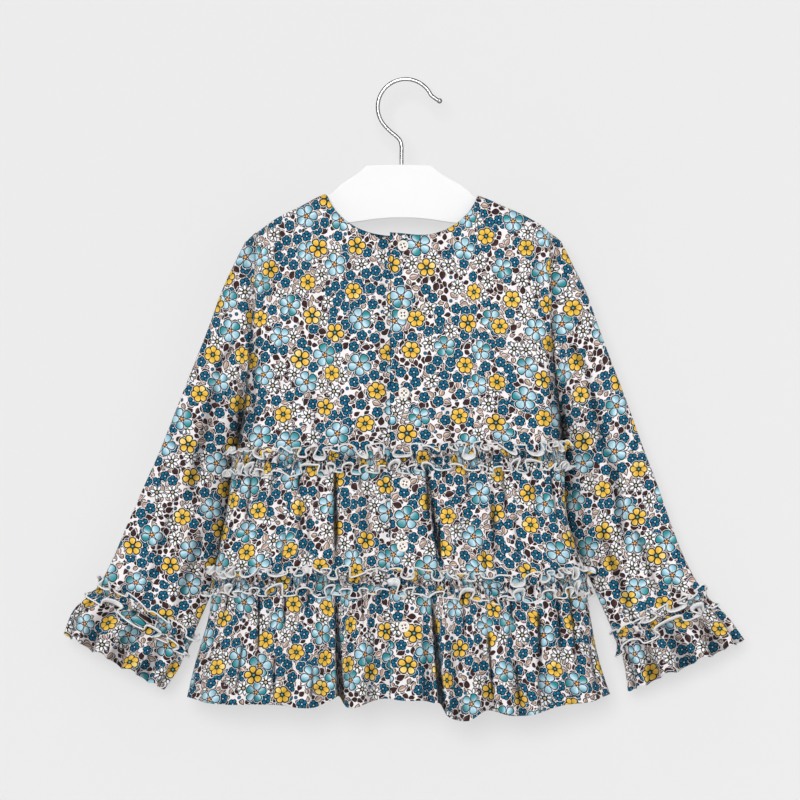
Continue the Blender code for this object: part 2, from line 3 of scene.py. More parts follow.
import bmesh
import bpy
import numpy as np
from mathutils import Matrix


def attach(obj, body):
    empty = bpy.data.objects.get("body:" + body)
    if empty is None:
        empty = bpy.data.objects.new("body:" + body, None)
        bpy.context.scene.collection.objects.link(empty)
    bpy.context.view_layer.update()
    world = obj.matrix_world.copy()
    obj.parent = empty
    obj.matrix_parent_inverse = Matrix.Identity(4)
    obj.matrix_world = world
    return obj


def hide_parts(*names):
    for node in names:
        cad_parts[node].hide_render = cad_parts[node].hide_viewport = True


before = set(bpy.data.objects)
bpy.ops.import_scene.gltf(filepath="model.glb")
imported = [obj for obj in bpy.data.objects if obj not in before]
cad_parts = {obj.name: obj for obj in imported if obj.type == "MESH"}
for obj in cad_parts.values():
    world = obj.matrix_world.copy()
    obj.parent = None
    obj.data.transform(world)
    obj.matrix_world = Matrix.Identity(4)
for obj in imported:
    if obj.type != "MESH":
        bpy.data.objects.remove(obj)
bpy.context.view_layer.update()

# everything below is in millimetres and turned into metres where a mesh is made
mm = 0.001
print("frame loaded:", len(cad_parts), "nodes")

# the body's form: the same sizes as the solids it is dressed on
body = {
    # height, left edge, right edge, half depth
    "rows": ((-100, -146, 148, 12), (-153, -146, 148, 13), (-271, -152, 151, 16),
             (-340, -159, 158, 17), (-380, -167, 161, 18), (-435, -175, 164, 22),
             (-475, -183, 175, 25), (-500, -188, 182, 26), (-535, -192, 187, 28),
             (-580, -205, 196, 31), (-625, -216, 211, 33)),
    # across, height
    "shoulder": ((-150, -156), (-146, -153), (-129, -140), (-100, -125), (-75, -113),
                 (75, -115), (100, -125), (128, -138), (142, -147), (148, -153), (152, -156)),
    "seamUpper": ((-170, -382), (-60, -379), (60, -377), (165, -375)),
    "seamLower": ((-190, -501), (-60, -500), (20, -502), (80, -507), (130, -505), (185, -500)),
    "hemBack": ((-216, -616), (-190, -622), (-129, -623), (-88, -626), (-66, -618), (-54, -626),
                (-20, -617), (0, -619), (34, -623), (46, -635), (66, -639), (84, -629),
                (108, -634), (130, -633), (158, -624), (190, -620), (211, -613)),
    "hemFront": ((-216, -615), (-120, -619), (-66, -611), (-20, -612), (34, -613), (50, -619),
                 (130, -620), (211, -612)),
    "chest": 147.0,          # half width at the shoulder tips
    "nose": 60.0,            # length over which the section rounds in to its side
    "ridge": 22.0,           # drop over which the cloth rounds off the hanger's arm
    "tip": -153.0,
    "underarm": -271.0,
    "armholeEase": 20.0,
    "neckHalf": 75.0,
    "neckPoints": (-113.0, -115.0),
    "neckLift": 60.0,
    "neckBack": 42.0,
    "neckFront": 64.0,
    "upperFlap": -12.0,      # free edges of the back opening
    "lowerFlap": 14.0,
    "stand": 0.12,
    "sunk": 1.6,
    "seamHalf": 0.2,
    "skin": 1.15,            # outer face of the cloth over the form
    "clothThick": 0.45,
    "gap": 0.15,
}


def smoothCurve(at, table):
    # cubic curve through the table's rows, with the mean of the two slopes at each row
    xs, ys = np.array(table, float).T
    if xs[0] > xs[-1]:
        xs = xs[::-1]
        ys = ys[::-1]
    at = np.clip(at, xs[0], xs[-1])
    step = np.diff(xs)
    rise = np.diff(ys) / step
    slope = np.concatenate(([rise[0]], (rise[1:] + rise[:-1]) / 2, [rise[-1]]))
    k = np.clip(np.searchsorted(xs, at, side="right") - 1, 0, len(step) - 1)
    t = (at - xs[k]) / step[k]
    return ((1 + 2 * t) * (1 - t) ** 2 * ys[k] + t * (1 - t) ** 2 * step[k] * slope[k]
            + t * t * (3 - 2 * t) * ys[k + 1] + t * t * (t - 1) * step[k] * slope[k + 1])


def ease(x):
    # smooth step from 0 to 1
    x = np.clip(x, 0.0, 1.0)
    return x * x * (3 - 2 * x)


def bodyEdges(z):
    rows = np.array(body["rows"])
    return smoothCurve(z, rows[:, [0, 1]]), smoothCurve(z, rows[:, [0, 2]])


def across(c, z):
    # position c, -1 to 1 between the side seams, as a distance across
    left, right = bodyEdges(z)
    chest = body["chest"]
    spread = np.clip((np.abs(c) - body["stand"]) / (1 - body["stand"]), 0, 1)
    return chest * c + np.where(c < 0, left + chest, right - chest) * spread


def shoulderHeight(x):
    inside = np.clip(1 - (x / body["neckHalf"]) ** 2, 0, 1)
    return smoothCurve(x, body["shoulder"]) + body["neckLift"] * inside


def neckHeight(x, depth):
    # rounded hollow hung between the two neck points
    half = body["neckHalf"]
    inside = np.clip(1 - np.abs(x / half) ** 2.6, 0, 1)
    return np.interp(x, (-half, half), body["neckPoints"]) - depth * inside ** 0.7


def shoulderDrop(c, z):
    return np.clip((shoulderHeight(across(c, z)) - z) / body["ridge"], 0, 1)


def section(c, z):
    # half depth and outward direction of the body's flattened section
    rows = np.array(body["rows"])
    left, right = bodyEdges(z)
    x = across(c, z)
    middle = (body["tip"] + body["underarm"]) / 2
    half = (body["tip"] - body["underarm"]) / 2
    closing = np.clip(1 - (np.clip(middle - z, 0, None) / half) ** 2, 0, 1)
    inset = np.abs(np.where(c < 0, left, right) - x) + body["armholeEase"] * closing
    cos = 1 - np.clip(inset / body["nose"], 0, 1)
    sin = np.sqrt(1 - cos ** 2)
    drop = shoulderDrop(c, z)
    deep = smoothCurve(z, rows[:, [0, 3]])
    nx = deep * cos * np.sign(c)
    ny = body["nose"] * sin + 1e-6
    length = np.hypot(nx, ny)
    return deep * sin * np.sqrt(1 - (1 - drop) ** 2), nx / length, ny / length


def bodyPoint(c, z, side, off):
    # point on the body, side -1 at the buttoned back and 1 at the front, moved out by off
    deep, nx, ny = section(c, z)
    return np.stack([across(c, z) + off * nx, side * (deep + off * ny + body["seamHalf"]),
                     z + 0 * c], axis=-1)


def rgb(r, g, b):
    # screen colour as a linear one
    c = np.array([r, g, b], float) / 255
    return tuple(np.where(c <= 0.04045, c / 12.92, ((c + 0.055) / 1.055) ** 2.4))


def put(tree, value, socket):
    # links a socket or sets a plain value
    if isinstance(value, bpy.types.NodeSocket):
        tree.links.new(value, socket)
    elif value is not None:
        if socket.type == "RGBA" and len(value) == 3:
            value = (*value, 1)
        socket.default_value = value


def calc(tree, kind, a, b=None, c=None):
    node = tree.nodes.new("ShaderNodeMath")
    node.operation = kind
    for value, socket in zip((a, b, c), node.inputs):
        put(tree, value, socket)
    return node.outputs[0]


def vecCalc(tree, kind, a, b=None, out=0):
    node = tree.nodes.new("ShaderNodeVectorMath")
    node.operation = kind
    put(tree, a, node.inputs[0])
    if b is not None:
        put(tree, b, node.inputs[3] if kind == "SCALE" else node.inputs[1])
    return node.outputs[out]


def blendColour(tree, a, b, share, mode="MIX"):
    node = tree.nodes.new("ShaderNodeMix")
    node.data_type = "RGBA"
    node.blend_type = mode
    put(tree, share, node.inputs["Factor"])
    put(tree, a, node.inputs[6])
    put(tree, b, node.inputs[7])
    return node.outputs[2]


def pick(tree, share, a, b):
    # number a at share 0 and b at share 1
    node = tree.nodes.new("ShaderNodeMix")
    put(tree, share, node.inputs["Factor"])
    put(tree, a, node.inputs[2])
    put(tree, b, node.inputs[3])
    return node.outputs[0]


def choose(tree, share, a, b):
    # colour or number a at share 0 and b at share 1
    if isinstance(a, tuple):
        return blendColour(tree, a, b, share)
    return pick(tree, share, a, b)


def band(tree, value, low, high):
    # smooth step of value between low and high
    node = tree.nodes.new("ShaderNodeMapRange")
    node.interpolation_type = "SMOOTHSTEP"
    put(tree, value, node.inputs["Value"])
    put(tree, low, node.inputs["From Min"])
    put(tree, high, node.inputs["From Max"])
    return node.outputs["Result"]


def parts(tree, vector):
    node = tree.nodes.new("ShaderNodeSeparateXYZ")
    put(tree, vector, node.inputs[0])
    return node.outputs


def flatPoint(tree, x, y):
    node = tree.nodes.new("ShaderNodeCombineXYZ")
    put(tree, x, node.inputs[0])
    put(tree, y, node.inputs[1])
    return node.outputs[0]


def spun(tree, vector, angle):
    node = tree.nodes.new("ShaderNodeVectorRotate")
    node.rotation_type = "Z_AXIS"
    put(tree, vector, node.inputs["Vector"])
    put(tree, angle, node.inputs["Angle"])
    return node.outputs[0]


def pointValue(tree, name):
    node = tree.nodes.new("ShaderNodeAttribute")
    node.attribute_name = name
    return node.outputs["Fac"]


def newGroup(name, ins, outs):
    tree = bpy.data.node_groups.new(name, "ShaderNodeTree")
    for label, kind in ins:
        tree.interface.new_socket(label, in_out="INPUT", socket_type="NodeSocket" + kind)
    for label, kind in outs:
        tree.interface.new_socket(label, in_out="OUTPUT", socket_type="NodeSocket" + kind)
    return tree, tree.nodes.new("NodeGroupInput").outputs, tree.nodes.new("NodeGroupOutput").inputs


def useGroup(tree, group, **values):
    node = tree.nodes.new("ShaderNodeGroup")
    node.node_tree = group
    for label, value in values.items():
        put(tree, value, node.inputs[label])
    return node.outputs


def noise(tree, vector, scale, detail=2.0):
    node = tree.nodes.new("ShaderNodeTexNoise")
    put(tree, vector, node.inputs["Vector"])
    node.inputs["Scale"].default_value = scale
    node.inputs["Detail"].default_value = detail
    return node.outputs["Fac"]


# what every motif of the print takes, with lengths in mm of cloth, and what it gives
motifIns = (("Local", "Vector"), ("Random", "Color"), ("Kind", "Float"), ("Edge", "Float"))
motifOuts = (("Color", "Color"), ("Mask", "Float"), ("Halo", "Float"))


def giveMotif(tree, give, shown, colour, mask, halo):
    # a motif whose lot isn't drawn leaves no mask and no halo
    put(tree, colour, give["Color"])
    put(tree, calc(tree, "MULTIPLY", mask, shown), give["Mask"])
    put(tree, calc(tree, "MULTIPLY", halo, shown), give["Halo"])


def scatterGroup():
    # one scattered point per square of a turned grid: the way to it, three random numbers and the
    # distance from the edge of its own ground
    tree, take, give = newGroup("scatter", (("Vector", "Vector"), ("Shift", "Vector"),
                                            ("Spacing", "Float"), ("Loose", "Float")),
                                (("Local", "Vector"), ("Random", "Color"), ("Edge", "Float")))
    moved = vecCalc(tree, "ADD", take["Vector"], take["Shift"])
    cells, edges = (tree.nodes.new("ShaderNodeTexVoronoi") for _ in range(2))
    edges.feature = "DISTANCE_TO_EDGE"
    for node in (cells, edges):
        node.voronoi_dimensions = "2D"
        put(tree, moved, node.inputs["Vector"])
        put(tree, calc(tree, "DIVIDE", 1.0, take["Spacing"]), node.inputs["Scale"])
        put(tree, take["Loose"], node.inputs["Randomness"])
    put(tree, calc(tree, "MULTIPLY", edges.outputs["Distance"], take["Spacing"]), give["Edge"])
    put(tree, vecCalc(tree, "SUBTRACT", moved, cells.outputs["Position"]), give["Local"])
    put(tree, cells.outputs["Color"], give["Random"])
    return tree


def flowerGroup():
    # petals round a core, with inked outlines, and a halo a little wider than the petals
    tree, take, give = newGroup(
        "flower",
        (("Local", "Vector"), ("Turn", "Float"), ("Seed", "Float"), ("Petals", "Float"),
         ("Middle", "Float"), ("Long", "Float"), ("Wide", "Float"), ("Line", "Float"),
         ("Odd", "Float"), ("Flare", "Float"), ("Tip", "Color"), ("Root", "Color"),
         ("OddTint", "Color"), ("Ink", "Color"), ("Core", "Float"), ("CoreTint", "Color"),
         ("CoreDot", "Color")),
        motifOuts)
    x, y, _ = parts(tree, take["Local"])
    far = vecCalc(tree, "LENGTH", take["Local"], out=1)
    angle = calc(tree, "ADD", calc(tree, "ARCTAN2", y, x), take["Turn"])
    pitch = calc(tree, "DIVIDE", 2 * math.pi, take["Petals"])
    number = calc(tree, "ROUND", calc(tree, "DIVIDE", angle, pitch))
    inPetal = calc(tree, "SUBTRACT", angle, calc(tree, "MULTIPLY", number, pitch))
    petal = calc(tree, "FLOORED_MODULO", number, take["Petals"])
    dice = tree.nodes.new("ShaderNodeTexWhiteNoise")
    dice.noise_dimensions = "2D"
    put(tree, flatPoint(tree, petal, take["Seed"]), dice.inputs["Vector"])
    alongX = calc(tree, "MULTIPLY", far, calc(tree, "COSINE", inPetal))
    alongY = calc(tree, "MULTIPLY", far, calc(tree, "SINE", inPetal))
    u = calc(tree, "DIVIDE", calc(tree, "SUBTRACT", alongX, take["Middle"]), take["Long"])
    flare = calc(tree, "MULTIPLY_ADD", u, take["Flare"], 0.94)
    v = calc(tree, "DIVIDE", alongY, calc(tree, "MULTIPLY", take["Wide"], flare))
    reach = calc(tree, "SQRT", calc(tree, "ADD", calc(tree, "MULTIPLY", u, u),
                                    calc(tree, "MULTIPLY", v, v)))
    size = calc(tree, "MULTIPLY", calc(tree, "ADD", take["Long"], take["Wide"]), 0.5)
    inner = calc(tree, "SUBTRACT", 1.0, calc(tree, "DIVIDE", take["Line"], size))
    petalMask = calc(tree, "LESS_THAN", reach, 1.0)
    side = calc(tree, "SINE", calc(tree, "MULTIPLY", dice.outputs["Value"], 37.0))
    lean = calc(tree, "MULTIPLY_ADD", calc(tree, "MULTIPLY", v, side), 0.9,
                calc(tree, "MULTIPLY", u, 0.5))
    tint = blendColour(tree, take["Root"], take["Tip"], band(tree, lean, -0.5, 0.95))
    odd = calc(tree, "LESS_THAN", dice.outputs["Value"], take["Odd"])
    oddTint = blendColour(tree, take["Root"], take["OddTint"], band(tree, lean, -1.0, 0.4))
    tint = blendColour(tree, tint, oddTint, odd)
    vein = calc(tree, "MULTIPLY", band(tree, calc(tree, "ABSOLUTE", v), 0.16, 0.03),
                band(tree, u, 0.5, -0.6))
    tint = blendColour(tree, tint, take["Ink"], calc(tree, "MULTIPLY", vein, 0.28))
    full = calc(tree, "MULTIPLY_ADD", inner, 0.90, 0.10)
    tint = blendColour(tree, tint, take["Ink"], band(tree, reach, inner, full))
    coreMask = calc(tree, "LESS_THAN", far, take["Core"])
    coreShare = calc(tree, "DIVIDE", far, take["Core"])
    core = blendColour(tree, take["CoreDot"], take["CoreTint"], band(tree, coreShare, 0.30, 0.52))
    core = blendColour(tree, core, take["Ink"], band(tree, coreShare, 0.72, 0.92))
    put(tree, blendColour(tree, tint, core, coreMask), give["Color"])
    put(tree, calc(tree, "MAXIMUM", petalMask, coreMask), give["Mask"])
    outer = calc(tree, "ADD", 1.0, calc(tree, "DIVIDE", 0.36, size))
    nearCore = calc(tree, "LESS_THAN", far, calc(tree, "MULTIPLY", take["Middle"], 0.7))
    put(tree, calc(tree, "MAXIMUM", calc(tree, "LESS_THAN", reach, outer), nearCore),
        give["Halo"])
    return tree


def bigGroup(flower):
    # one of the two larger flowers: pale blue at Kind 0, mustard at Kind 1
    tree, take, give = newGroup("bigFlower", motifIns, motifOuts)
    lot, spin, seed = parts(tree, take["Random"])
    gold = take["Kind"]
    shown = calc(tree, "LESS_THAN", lot, pick(tree, gold, 0.86, 0.94))

    def two(blueValue, goldValue):
        return choose(tree, gold, blueValue, goldValue)

    grow = calc(tree, "MULTIPLY_ADD", seed, 0.18, 0.90)
    local = vecCalc(tree, "SCALE", take["Local"], grow)
    squeezed = vecCalc(tree, "MULTIPLY", local, (1.0, 1.06, 1.0))
    flowerOut = useGroup(
        tree, flower, Local=squeezed, Turn=calc(tree, "MULTIPLY", spin, 6.28), Seed=seed,
        Petals=calc(tree, "ADD", calc(tree, "MULTIPLY", gold,
                                      calc(tree, "GREATER_THAN", seed, 0.45)), 5.0),
        Middle=two(6.9, 5.5), Long=two(4.9, 4.15), Wide=two(4.8, 3.95), Line=two(1.05, 1.20),
        Odd=two(0.26, 0.10), Flare=0.34,
        Tip=two(rgb(40, 144, 162), rgb(252, 216, 108)),
        Root=two(rgb(206, 236, 250), rgb(234, 184, 64)),
        OddTint=two(rgb(40, 142, 150), rgb(253, 226, 136)),
        Ink=two(rgb(4, 26, 34), rgb(30, 18, 10)),
        Core=two(2.2, 2.4),
        CoreTint=two(rgb(158, 96, 44), rgb(20, 62, 70)),
        CoreDot=two(rgb(250, 196, 98), rgb(128, 172, 160)))
    giveMotif(tree, give, shown, *flowerOut)
    return tree


def smallGroup(flower):
    # small flowers: deep blue ones, many in pairs, and thin-petalled white daisies.  A pair is one
    # flower mirrored about the middle of its square
    tree, take, give = newGroup("smallFlower", motifIns, motifOuts)
    lot, spin, seed = parts(tree, take["Random"])
    white = calc(tree, "GREATER_THAN", lot, 0.64)
    pair = calc(tree, "LESS_THAN", lot, 0.36)
    x, y, _ = parts(tree, spun(tree, take["Local"], calc(tree, "MULTIPLY", seed, 40.0)))
    apart = calc(tree, "MULTIPLY_ADD", spin, 0.8, 5.0)
    mirrored = calc(tree, "SUBTRACT", calc(tree, "ABSOLUTE", x), apart)
    local = flatPoint(tree, pick(tree, pair, x, mirrored), y)

    def two(blueValue, whiteValue):
        return choose(tree, white, blueValue, whiteValue)

    flowerOut = useGroup(
        tree, flower, Local=local, Turn=calc(tree, "MULTIPLY", spin, 6.28), Seed=seed,
        Petals=two(5.0, 7.0), Middle=two(3.0, 4.7), Long=two(2.6, 3.7), Wide=two(2.6, 1.95),
        Line=two(1.05, 1.2), Odd=0.0, Flare=two(0.34, -0.30),
        Tip=two(rgb(24, 134, 168), rgb(255, 255, 255)),
        Root=two(rgb(5, 86, 120), rgb(250, 252, 253)), OddTint=rgb(30, 120, 150),
        Ink=two(rgb(0, 16, 30), rgb(14, 12, 14)), Core=1.5,
        CoreTint=two(rgb(14, 66, 96), rgb(226, 206, 170)),
        CoreDot=two(rgb(240, 248, 250), rgb(140, 160, 166)))
    shown = calc(tree, "LESS_THAN", lot, 0.89)
    giveMotif(tree, give, shown, *flowerOut)
    return tree


def leafGroup():
    # a plump leaf, dark brown or outlined beige, or a small blue berry, by lot
    tree, take, give = newGroup("leaf", motifIns, motifOuts)
    lot, spin, seed = parts(tree, take["Random"])
    x, y, _ = parts(tree, spun(tree, take["Local"], calc(tree, "MULTIPLY", spin, 6.28)))
    far = vecCalc(tree, "LENGTH", take["Local"], out=1)
    grow = calc(tree, "MULTIPLY_ADD", take["Kind"], 0.34, 1.0)
    halfLong = calc(tree, "MULTIPLY", grow, calc(tree, "MULTIPLY_ADD", seed, 1.2, 3.2))
    u = calc(tree, "DIVIDE", x, halfLong)
    girth = calc(tree, "MULTIPLY", grow, calc(tree, "MULTIPLY_ADD", seed, 0.4, 2.15))
    belly = calc(tree, "MULTIPLY", calc(tree, "SUBTRACT", 1.0, calc(tree, "MULTIPLY", u, u)),
                 calc(tree, "MULTIPLY", girth, calc(tree, "MULTIPLY_ADD", u, -0.46, 1.0)))
    inside = calc(tree, "SUBTRACT", calc(tree, "MAXIMUM", belly, 0.0), calc(tree, "ABSOLUTE", y))
    inside = calc(tree, "MINIMUM", inside, calc(tree, "SUBTRACT", take["Edge"], 0.16))
    beige = calc(tree, "GREATER_THAN", lot, 0.57)
    berry = calc(tree, "GREATER_THAN", lot, calc(tree, "MULTIPLY_ADD", take["Kind"], 0.2, 0.88))
    brown = blendColour(tree, rgb(54, 30, 30), rgb(84, 54, 50),
                        calc(tree, "MULTIPLY", band(tree, y, 0.0, 1.2), band(tree, seed, 0.3, 0.9)))
    brown = blendColour(tree, brown, rgb(22, 12, 14), band(tree, inside, 0.7, 0.3))
    pale = blendColour(tree, rgb(188, 160, 144), rgb(224, 204, 190), band(tree, y, -0.6, 0.8))
    vein = calc(tree, "MULTIPLY", band(tree, calc(tree, "ABSOLUTE", y), 0.4, 0.12),
                band(tree, u, 0.6, 0.2))
    pale = blendColour(tree, pale, rgb(84, 56, 50), calc(tree, "MULTIPLY", vein, 0.8))
    pale = blendColour(tree, pale, rgb(36, 22, 22), band(tree, inside, 1.2, 0.75))
    tint = blendColour(tree, brown, pale, beige)
    blue = blendColour(tree, rgb(34, 108, 140), rgb(10, 42, 62), band(tree, far, 0.9, 1.5))
    leafMask = calc(tree, "GREATER_THAN", inside, 0.0)
    berryMask = calc(tree, "LESS_THAN", far, 1.9)
    shown = calc(tree, "LESS_THAN", seed, calc(tree, "MULTIPLY_ADD", take["Kind"], -0.35, 1.1))
    leafHalo = calc(tree, "MULTIPLY", calc(tree, "GREATER_THAN", inside, -0.6),
                    calc(tree, "LESS_THAN", calc(tree, "ABSOLUTE", u), 1.15))
    halo = pick(tree, berry, leafHalo, calc(tree, "LESS_THAN", far, 2.3))
    giveMotif(tree, give, shown, blendColour(tree, tint, blue, berry),
              pick(tree, berry, leafMask, berryMask), halo)
    return tree


printLayers = (
    # group, its kind, spacing in mm, looseness, turn in degrees
    ("leaf", 0, 6.3, 0.66, 33),
    ("leaf", 1, 10.6, 0.56, 71),
    ("small", 0, 23.0, 0.36, -21),
    ("small", 1, 23.0, 0.36, -21),
    ("big", 0, 43.0, 0.50, 12),
    ("big", 1, 43.0, 0.50, 12),
)


def printGroup():
    # leaves under small flowers under large ones, on a pale ground that also shows as a thin line
    # round each motif
    scatter = scatterGroup()
    flower = flowerGroup()
    groups = {"leaf": leafGroup(), "small": smallGroup(flower), "big": bigGroup(flower)}
    tree, take, give = newGroup("flowerPrint", (("Vector", "Vector"),), (("Color", "Color"),))
    cloth = vecCalc(tree, "SCALE", take["Vector"], 1000.0)
    ground = rgb(243, 237, 238)
    tint = ground
    for group, kind, spacing, loose, turn in printLayers:
        # kind 1 lies half a square off, so that it falls between kind 0 of the same spacing
        shift = (spacing * (57.5 * kind + 40), spacing * (83.5 * kind + 60), 0)
        found = useGroup(tree, scatter, Vector=spun(tree, cloth, math.radians(turn)), Shift=shift,
                         Spacing=spacing, Loose=loose)
        drawn = useGroup(tree, groups[group], Local=found["Local"], Random=found["Random"],
                         Edge=found["Edge"], Kind=float(kind))
        tint = blendColour(tree, tint, ground, drawn["Halo"])
        tint = blendColour(tree, tint, drawn["Color"], drawn["Mask"])
    put(tree, tint, give["Color"])
    return tree


def weaveGroup():
    # plain weave and a little crumple as a height
    tree, take, give = newGroup("weave", (("Vector", "Vector"),), (("Height", "Float"),))
    cloth = vecCalc(tree, "SCALE", take["Vector"], 1000.0)
    x, y, _ = parts(tree, cloth)
    warp = calc(tree, "SINE", calc(tree, "MULTIPLY", x, 11.0))
    weft = calc(tree, "SINE", calc(tree, "MULTIPLY", y, 11.0))
    threads = calc(tree, "MULTIPLY", warp, weft)
    crumple = noise(tree, cloth, 1 / 9.0, 3.0)
    put(tree, calc(tree, "MULTIPLY_ADD", threads, 0.04, calc(tree, "MULTIPLY", crumple, 0.9)),
        give["Height"])
    return tree


clothPrint = printGroup()
clothWeave = weaveGroup()


def newMaterial(name):
    made = bpy.data.materials.new(name)
    made.use_nodes = True
    tree = made.node_tree
    return made, tree, tree.nodes["Principled BSDF"]


def clothUv(tree):
    node = tree.nodes.new("ShaderNodeUVMap")
    node.uv_map = "cloth"
    return node.outputs[0]


def bumpFrom(tree, shader, height, distance, strength=1.0):
    node = tree.nodes.new("ShaderNodeBump")
    node.inputs["Distance"].default_value = distance
    node.inputs["Strength"].default_value = strength
    put(tree, height, node.inputs["Height"])
    put(tree, node.outputs[0], shader.inputs["Normal"])


def printedCloth(name, wrongSide=False):
    made, tree, shader = newMaterial(name)
    uv = clothUv(tree)
    tint = useGroup(tree, clothPrint, Vector=uv)["Color"]
    if wrongSide:
        tint = blendColour(tree, tint, rgb(234, 236, 238), 0.86)
    else:
        wear = noise(tree, uv, 60.0, 3.0)
        tint = blendColour(tree, tint, rgb(255, 255, 255), calc(tree, "MULTIPLY", wear, 0.015))
    # painted shade: the colour is darkened towards a blue grey where the point value says the cloth
    # lies in shade
    shade = calc(tree, "MULTIPLY", pointValue(tree, "paintedShade"), 0.92)
    tint = blendColour(tree, tint, rgb(34, 34, 44), shade, "MULTIPLY")
    put(tree, tint, shader.inputs["Base Color"])
    shader.inputs["Roughness"].default_value = 0.85
    shader.inputs["Specular IOR Level"].default_value = 0.10
    shader.inputs["Sheen Weight"].default_value = 0.04
    shader.inputs["Sheen Roughness"].default_value = 0.5
    bumpFrom(tree, shader, useGroup(tree, clothWeave, Vector=uv)["Height"], 0.0004, 0.6)
    return made


def looseThread(name, dark, light):
    # thread laid over the cloth's edge in slanting loops
    made, tree, shader = newMaterial(name)
    x, y, _ = parts(tree, clothUv(tree))
    slant = calc(tree, "MULTIPLY_ADD", y, 2.0, x)
    loops = calc(tree, "SINE", calc(tree, "MULTIPLY", slant, 2 * math.pi / 0.0014))
    # painted shade: the thread is darker between its loops, where the height is low
    tint = blendColour(tree, dark, light, band(tree, loops, -0.9, 0.2))
    put(tree, tint, shader.inputs["Base Color"])
    shader.inputs["Roughness"].default_value = 0.8
    shader.inputs["Sheen Weight"].default_value = 0.1
    bumpFrom(tree, shader, loops, 0.00005)
    return made


def objectPoint(tree):
    return tree.nodes.new("ShaderNodeTexCoord").outputs["Object"]


def hangerPlastic():
    made, tree, shader = newMaterial("hangerPlastic")
    grain = noise(tree, objectPoint(tree), 900.0, 2.0)
    cloudy = noise(tree, objectPoint(tree), 30.0, 2.0)
    put(tree, blendColour(tree, rgb(240, 240, 241), rgb(243, 243, 243), cloudy),
        shader.inputs["Base Color"])
    put(tree, calc(tree, "MULTIPLY_ADD", cloudy, 0.12, 0.58), shader.inputs["Roughness"])
    bumpFrom(tree, shader, grain, 0.00005, 0.5)
    return made


def hookSteel():
    # drawn wire, its colour darkened towards its edges as painted shade
    made, tree, shader = newMaterial("hookSteel")
    drawn = noise(tree, objectPoint(tree), 1400.0, 2.0)
    steel = blendColour(tree, rgb(196, 195, 194), rgb(226, 225, 224), drawn)
    facing = tree.nodes.new("ShaderNodeLayerWeight").outputs["Facing"]
    put(tree, blendColour(tree, steel, rgb(44, 41, 38), band(tree, facing, 0.08, 0.50)),
        shader.inputs["Base Color"])
    put(tree, calc(tree, "MULTIPLY_ADD", drawn, 0.15, 0.14), shader.inputs["Roughness"])
    shader.inputs["Metallic"].default_value = 1.0
    bumpFrom(tree, shader, drawn, 0.00003, 0.5)
    return made


def buttonResin():
    made, tree, shader = newMaterial("buttonResin")
    cloudy = noise(tree, objectPoint(tree), 260.0, 3.0)
    pale = blendColour(tree, rgb(240, 228, 216), rgb(253, 248, 243), band(tree, cloudy, 0.3, 0.7))
    # painted shade: darker in the four pits, in a ring inside the rim and round the outer edge
    put(tree, blendColour(tree, pale, rgb(38, 24, 22), pointValue(tree, "hole")),
        shader.inputs["Base Color"])
    put(tree, calc(tree, "MULTIPLY_ADD", cloudy, 0.2, 0.2), shader.inputs["Roughness"])
    bumpFrom(tree, shader, cloudy, 0.0001, 0.4)
    return made


finish = {
    "print": printedCloth("flowerCloth"),
    "wrong": printedCloth("flowerClothWrongSide", wrongSide=True),
    "thread": looseThread("overlockThread", rgb(214, 212, 214), rgb(255, 254, 252)),
    "hole": looseThread("buttonholeThread", rgb(120, 92, 80), rgb(208, 184, 168)),
    "hanger": hangerPlastic(),
    "hook": hookSteel(),
    "button": buttonResin(),
}
print("materials made")


def addObject(name, data):
    made = bpy.data.objects.new(name, data)
    bpy.context.scene.collection.objects.link(made)
    return made


def gridFaces(tall, wide, points, corners):
    # point numbers of each quad of a grid with wide columns of quads and so many points to a row
    row, col = np.meshgrid(np.arange(tall - 1), np.arange(wide), indexing="ij")
    return np.stack([(row + i) * points + (col + j) % points for i, j in corners],
                    -1).reshape(-1, 4)


def gridPiece(name, grid, uv, finishes, closed=False, flip=False):
    # a grid of points as a surface of quads, with its own map in metres of cloth
    tall, wide = grid.shape[:2]
    uvWide = wide + 1 if closed else wide
    corners = ((0, 0), (1, 0), (1, 1), (0, 1))
    if flip:
        corners = corners[::-1]
    quads = gridFaces(tall, uvWide - 1, wide, corners)
    maps = gridFaces(tall, uvWide - 1, uvWide, corners).ravel()
    mesh = bpy.data.meshes.new(name)
    mesh.from_pydata(grid.reshape(-1, 3) * mm, [], quads)
    layer = mesh.uv_layers.new(name="cloth")
    layer.data.foreach_set("uv", (uv.reshape(-1, 2)[maps] * mm).astype(np.float32).ravel())
    mesh.shade_smooth()
    for one in finishes:
        mesh.materials.append(finish[one])
    return addObject(name, mesh)


def addPointValue(piece, name, values):
    layer = piece.data.attributes.new(name, "FLOAT", "POINT")
    layer.data.foreach_set("value", values.astype(np.float32).ravel())


def clothPiece(name, grid, uv, node, paintedShade, closed=False, flip=False):
    # cloth: a grid as its right side, given its thickness inwards.  Its point value is painted shade,
    # 0 to 1, darkest in creases and hollows
    made = gridPiece(name, grid, uv, ("print", "wrong"), closed, flip)
    addPointValue(made, "paintedShade", np.clip(paintedShade, 0, 1))
    wall = made.modifiers.new("Thickness", "SOLIDIFY")
    wall.thickness = body["clothThick"] * mm
    wall.offset = -1
    wall.material_offset = 1
    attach(made, "root")
    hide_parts(node)
    return made


def troughs(off, reach, deep, closed=False):
    # how far each point lies under the mean of its neighbours across, as a share of deep
    pad = np.pad(off, ((0, 0), (reach, reach)), mode="wrap" if closed else "edge")
    total = np.cumsum(np.pad(pad, ((0, 0), (1, 0))), axis=1)
    mean = (total[:, 2 * reach + 1:] - total[:, :-2 * reach - 1]) / (2 * reach + 1)
    return np.clip((mean - off) / deep, 0, 1)


def unit(v):
    return v / np.linalg.norm(v, axis=-1)[..., None]


